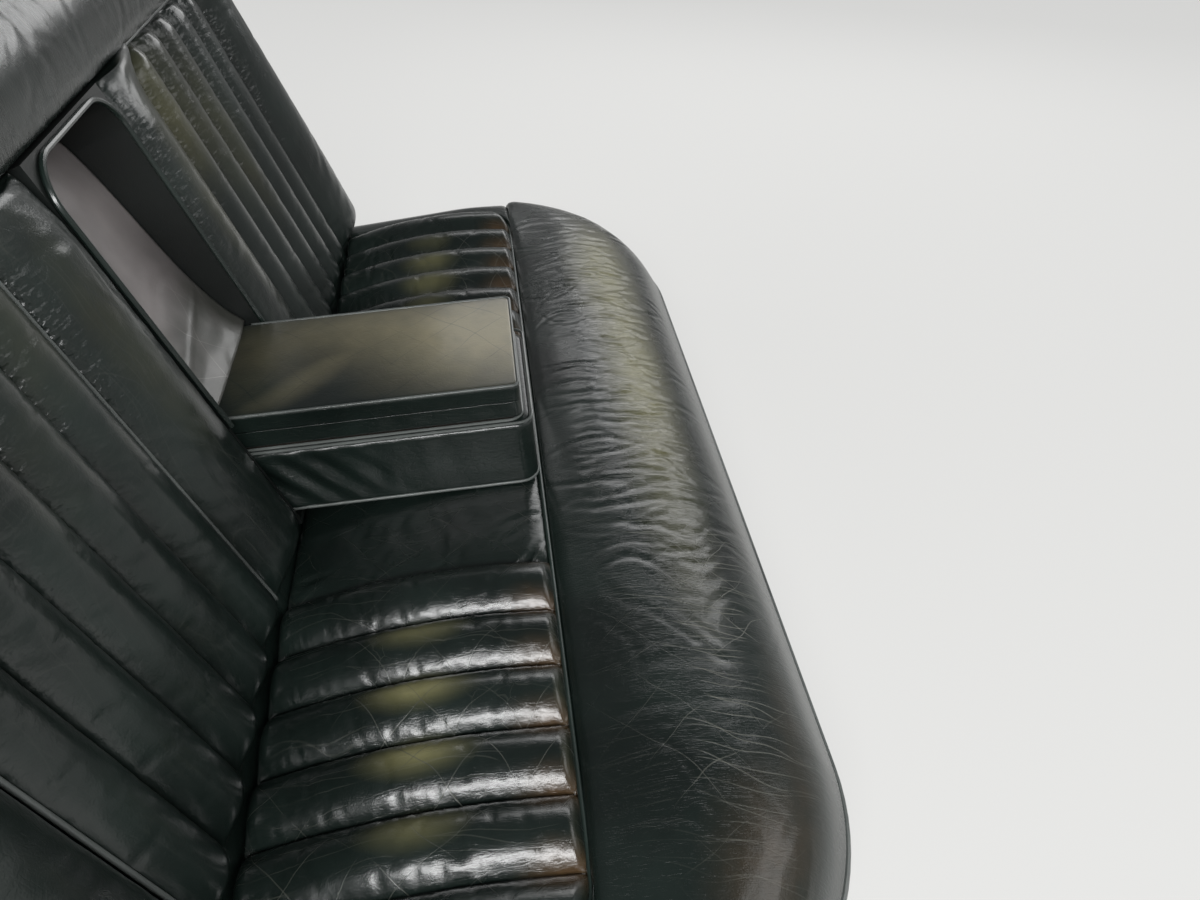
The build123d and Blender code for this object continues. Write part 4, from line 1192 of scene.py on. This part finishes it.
class SEAT_OT_curtain(bpy.types.Operator):
    """Makes the loose leather curtain inside the armrest's well, which drops from its top to the armrest"""

    bl_idname = "seat.curtain"
    bl_label = "Curtain"

    def execute(self, context):
        half = 0.1025
        thick = 0.0018
        hang = [(0.434, -0.066), (0.425, -0.058), (0.37, -0.045)]
        section = through(hang + [(0.25, -0.030), (0.19, -0.016), (0.160, -0.002)], 110)
        across = np.linspace(-1, 1, 60)[None, :]
        along, proud = section[:, :1], section[:, 1:]
        narrow = corner_cut(0.434 - along, 0.034)
        x = across * (half - narrow)
        ripple = 0.0005 * puckers(along + 0.1 * x, 0.09, 91) * (1 - across**2)
        area = (0.15, 0.26, -half, half)
        crease = creases(along, x, 92, 12, area, (pi / 2, 0.3), (0.06, 0.14), (0.010, 0.018), 0.0004)
        ridge = 0.0010 * near(along - 0.206 - 0.20 * x, 0.0035) * (1 - across**6)
        crease = crease - ridge
        belly = 0.003 * (1 - across**4)
        front = on_squab(x, along, proud + ripple + belly - crease)
        back = on_squab(x, along, proud + ripple + belly - crease - thick)
        skin = np.concatenate([front, back[::-1]])
        rows, columns = skin.shape[:2]
        points = skin.reshape(-1, 3)
        index = np.arange(rows * columns).reshape(rows, columns)
        faces = tube_faces(rows, columns, True, False)
        deep = rows // 2
        for column in (0, columns - 1):
            edge = index[:, column]
            facing = edge[::-1]
            pairs = zip(edge[: deep - 1], edge[1:deep], facing[1:deep], facing[: deep - 1])
            faces += [[int(v) for v in quad] for quad in pairs]
        # Painted shade: the curtain turns darker towards its bottom, low in the well.
        tint_mask = 0.9 * eased((0.27 - along + 0.12 * x) / 0.07)
        marks = {"wear_and_painted_light": np.concatenate([tint_mask, tint_mask[::-1]]), "folds": 0.05 + 0 * skin[..., 0]}
        piece = mesh_object("well_curtain", points, faces, marks)
        place(piece, "bench", "well_lining", "lining_reflection_hide")
        axis = on_squab(0, 0, 1) - on_squab(0, 0, 0)
        tuple(on_squab(0, 0.3, -0.0895))
        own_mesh(piece)
        return {"FINISHED"}


class SEAT_OT_skirt(bpy.types.Operator):
    """Makes the leather skirt round the cushion, with slight waves and a sewn hem"""

    bl_idname = "seat.skirt"
    bl_label = "Skirt"

    def execute(self, context):
        bottom, top = low("cushion_skirt")[2], high("cushion_skirt")[2]
        front = low("cushion_skirt")[1]
        wall = 0.0036
        z = np.concatenate([np.linspace(top, bottom, 60), np.linspace(bottom, top, 20)])[:, None]
        inner = np.concatenate([np.zeros(60), np.full(20, wall)])[:, None]
        back = BITE_Y + (z - BITE_Z) * tan(TILT) - 0.0024
        turn = np.linspace(0, pi / 2, 60)
        share = np.linspace(0, 1, 60)[:-1]
        side = back + (front + PLAN_CORNER - back) * share
        middle_x = np.linspace(HALF - PLAN_CORNER, 0, 90)[1:]
        x = np.concatenate([0 * share + HALF, HALF - PLAN_CORNER * (1 - np.cos(turn)), middle_x]) + 0 * z
        arc = front + PLAN_CORNER * (1 - np.sin(turn)) + 0 * z
        y = np.hstack([side, arc, front + 0 * middle_x + 0 * z])
        out_x = np.concatenate([0 * share + 1, np.cos(turn), 0 * middle_x])
        out_y = np.concatenate([0 * share, -np.sin(turn), 0 * middle_x - 1])
        x, y = np.hstack([x, -x[:, -2::-1]]), np.hstack([y, y[:, -2::-1]])
        out_x, out_y = np.concatenate([out_x, -out_x[-2::-1]]), np.concatenate([out_y, out_y[-2::-1]])
        way = from_edge(np.stack([x, y, z + 0 * x], axis=-1), "start")
        drop = (top - z) / (top - bottom)
        wave = 0.0007 * drop * (1.2 + puckers(way, 0.15, 95))
        hem = 0.0006 * near(z - bottom - 0.011, 0.0014) + 0.0006 * np.exp(-((drop - 1) ** 2) / 0.0006)
        area = (0, 3.0, bottom, top)
        fold = creases(way, z, 96, 60, area, (pi / 2, 0.35), (0.03, 0.08), (0.01, 0.03), 0.0005)
        inset = inner + 0.0003 + wave + (hem + np.clip(fold, -0.0003, 1)) * (inner == 0)
        skin = np.stack([x - out_x * inset, y - out_y * inset, z + 0 * x], axis=-1)
        marks = {"cracks": 0.05 + 0 * x, "folds": 0.1 + 0 * x}
        piece = closed_form("front_skirt", skin, marks)
        place(piece, "bench", "seat_leather", "cushion_hide", ["cushion_skirt"], 0.2)
        row = int(np.argmin(np.abs(z[:60, 0] - bottom - 0.011)))
        line = skin[row] + np.stack([out_x, out_y, 0 * out_x], axis=1) * 0.0003
        thread = stitches("hem_stitches", line[4:-4], context.scene.seat_sizes.stitch)
        place(thread, "bench", "seat_leather", "sewing_thread")
        return {"FINISHED"}


class SEAT_OT_underlay(bpy.types.Operator):
    """Makes the felt on the springs, pillowed down between them"""

    bl_idname = "seat.underlay"
    bl_label = "Underlay"

    def execute(self, context):
        below, above = low("cushion_underlay"), high("cushion_underlay")
        half = above[0] - 0.0005
        x = packed(-half, half, 130)[None, :]
        cut_off = corner_cut(half - np.abs(x), PLAN_CORNER - 0.005)
        share = packed(0, 1, 70)[:, None]
        places = []
        for z, level in ((above[2], 1.0), (below[2], -1.0)):
            back = BITE_Y + (z - BITE_Z) * tan(TILT) - 0.0022
            front = below[1] + cut_off
            y = back + (front - back) * share
            edge = rounded(np.minimum(half - np.abs(x), np.minimum(y - front, back - y)), 0.006)
            pillow = 0.0016 * np.sin(pi * x / 0.1) ** 2 * np.sin(pi * y / 0.05) ** 2
            middle, thick = (below[2] + above[2]) / 2, (above[2] - below[2]) / 2
            rise = middle + level * (thick * (0.3 + 0.7 * edge) - 0.0004) + (level < 0) * pillow
            places.append(np.stack([x + 0 * y, y, rise], axis=-1))
        piece = closed_form("spring_felt", np.concatenate([places[0], places[1][::-1]]))
        place(piece, "bench", "felt", "underlay_felt", ["cushion_underlay"], 0.4)
        return {"FINISHED"}


class SEAT_OT_staples(bpy.types.Operator):
    """Makes the wire staples round the edge of the squab's hardboard back"""

    bl_idname = "seat.staples"
    bl_label = "Staples"

    def execute(self, context):
        behind = SQUAB_BACK - 0.0046
        rise = np.arange(-0.035, 0.50, 0.045)
        places = [(sign * (squab_half(s) - 0.022), s, 0.0, 1.0) for s in rise for sign in (-1, 1)]
        places += [(x, SQUAB_TOP - 0.024, 1.0, 0.0) for x in np.arange(-0.52, 0.53, 0.045)]
        spots = np.array(places)
        wire, half, depth = 0.0006, 0.006, 0.0016
        turn = np.linspace(0, 2 * pi, 6, endpoint=False)
        way = np.array([(-half, -depth), (-half, 0), (half, 0), (half, -depth)])
        spread = np.array([(-1, 0), (-0.7, 0.7), (0.7, 0.7), (1, 0)]) * wire
        u = way[:, :1] + spread[:, :1] * np.cos(turn)
        n = way[:, 1:] + spread[:, 1:] * np.cos(turn)
        v = wire * np.sin(turn) + 0 * u
        x = spots[:, 0, None, None] + spots[:, 2, None, None] * u + spots[:, 3, None, None] * v
        s = spots[:, 1, None, None] + spots[:, 3, None, None] * u - spots[:, 2, None, None] * v
        points = on_squab(x, s, behind - n - wire * 0.3)
        piece = little_tubes("back_staples", points)
        place(piece, "bench", "bare_steel", "spring_steel")
        return {"FINISHED"}


class SEAT_OT_stage(bpy.types.Operator):
    """Sets up the floor, the soft lights and the camera"""

    bl_idname = "seat.stage"
    bl_label = "Stage"

    def execute(self, context):
        scene = context.scene
        f = Nodes("studio_floor")
        cloud = f.noise(0.6, 2.0)
        colour = tuple(scene.seat_colours.floor)
        tint = f.mix(cloud * 0.1, opaque(colour), opaque(tuple(0.94 * c for c in colour)))
        matt = f.add("ShaderNodeBsdfDiffuse", {}, {"Color": tint, "Roughness": 0.5})
        glow = f.add("ShaderNodeEmission", {}, {"Color": opaque(BACKDROP), "Strength": 1.0})
        mirrored = f.ray("Is Glossy Ray") + f.ray("Is Transmission Ray")
        seen = f.ray("Is Camera Ray") * 0.72 + mirrored * REFLECTED
        f.add_output(f.add("ShaderNodeMixShader", {}, {0: seen, 1: matt, 2: glow}))
        edge = 40.0
        corners = np.array([(-edge, -edge, 0), (edge, -edge, 0), (edge, edge, 0), (-edge, edge, 0)], float)
        floor = mesh_object("floor", corners, [[0, 1, 2, 3]])
        paint(floor, kept("studio_floor"))
        lamps = (
            ("side_strip", (-1.85, -0.20, 1.42), (-0.3, -0.2, 0.2), (1.5, 0.4), 40.0),
            ("far_bank", (2.00, -1.22, 1.40), (0.0, -0.3, 0.2), (1.75, 0.9), 17.0),
            ("far_spot", (2.05, -0.10, 1.45), (0.0, 0.0, 0.3), (0.5, 0.4), 1.8),
            ("front_bank", (-0.5, -2.9, 2.3), (0.0, 0.0, 0.3), (2.4, 1.4), 22.0),
            ("back_bank", (0.4, 3.2, 2.0), (0.0, 0.2, 0.4), (2.4, 1.4), 34.0),
        )
        for name, spot, aim, span, power in lamps:
            lamp = bpy.data.lights.new(name, "AREA")
            lamp.shape = "RECTANGLE"
            lamp.size, lamp.size_y = span
            lamp.energy = power
            holder = bpy.data.objects.new(name, lamp)
            holder.location = spot
            holder.rotation_euler = (Vector(aim) - Vector(spot)).to_track_quat("-Z", "Y").to_euler()
            context.collection.objects.link(holder)
        world = scene.world or bpy.data.worlds.new("studio")
        scene.world = world
        w = Nodes("studio", world)
        above = w.add("ShaderNodeSeparateXYZ", {}, {"Vector": w.place}, "Z")
        mirrored = w.ray("Is Glossy Ray") + w.ray("Is Transmission Ray")
        pale = w.ray("Is Camera Ray") + mirrored * (1.0 - above.above(0.1, 0.6)) * REFLECTED
        room = w.add("ShaderNodeBackground", {}, {"Color": (0.86, 0.88, 0.90, 1.0), "Strength": 0.13})
        backdrop = w.add("ShaderNodeBackground", {}, {"Color": opaque(BACKDROP), "Strength": 1.0})
        w.add_output(w.add("ShaderNodeMixShader", {}, {0: pale, 1: room, 2: backdrop}))
        lens = bpy.data.cameras.new("camera")
        lens.lens = 28.8
        lens.sensor_width = 36.0
        camera = bpy.data.objects.new("camera", lens)
        camera.location = (-0.9184, -0.1411, 0.8831)
        yaw, pitch = radians(7.3), radians(-37.9)
        ahead = Vector((cos(pitch) * cos(yaw), -cos(pitch) * sin(yaw), sin(pitch)))
        camera.rotation_euler = ahead.to_track_quat("-Z", "Y").to_euler()
        context.collection.objects.link(camera)
        scene.camera = camera
        scene.view_settings.view_transform = "Standard"
        return {"FINISHED"}


STEPS = (
    SEAT_OT_finishes,
    SEAT_OT_cushion_panels,
    SEAT_OT_cushion_centre,
    SEAT_OT_front_roll,
    SEAT_OT_side_borders,
    SEAT_OT_squab_panels,
    SEAT_OT_squab_bolsters,
    SEAT_OT_squab_wings,
    SEAT_OT_top_roll,
    SEAT_OT_squab_lower,
    SEAT_OT_armrest,
    SEAT_OT_seam_piping,
    SEAT_OT_curtain,
    SEAT_OT_skirt,
    SEAT_OT_underlay,
    SEAT_OT_staples,
    SEAT_OT_stage,
)


class SEAT_PT_panel(bpy.types.Panel):
    """Lists the seat's operators and settings"""

    bl_idname = "SEAT_PT_panel"
    bl_label = "Rear bench seat"
    bl_space_type = "VIEW_3D"
    bl_region_type = "UI"
    bl_category = "Seat"

    def draw(self, context):
        for step in STEPS:
            self.layout.operator(step.bl_idname)
        for group in (context.scene.seat_sizes, context.scene.seat_colours):
            for name in group.bl_rna.properties.keys():
                if name not in ("rna_type", "name"):
                    self.layout.prop(group, name)


CLASSES = (SeatColours, SeatSizes, *STEPS, SEAT_PT_panel)


def register():
    for cls in CLASSES:
        bpy.utils.register_class(cls)
    bpy.types.Scene.seat_colours = PointerProperty(type=SeatColours)
    bpy.types.Scene.seat_sizes = PointerProperty(type=SeatSizes)


def unregister():
    del bpy.types.Scene.seat_sizes
    del bpy.types.Scene.seat_colours
    for cls in reversed(CLASSES):
        bpy.utils.unregister_class(cls)


def main():
    register()
    for step in STEPS:
        group, name = step.bl_idname.split(".")
        getattr(getattr(bpy.ops, group), name)()


if __name__ == "__main__":
    main()
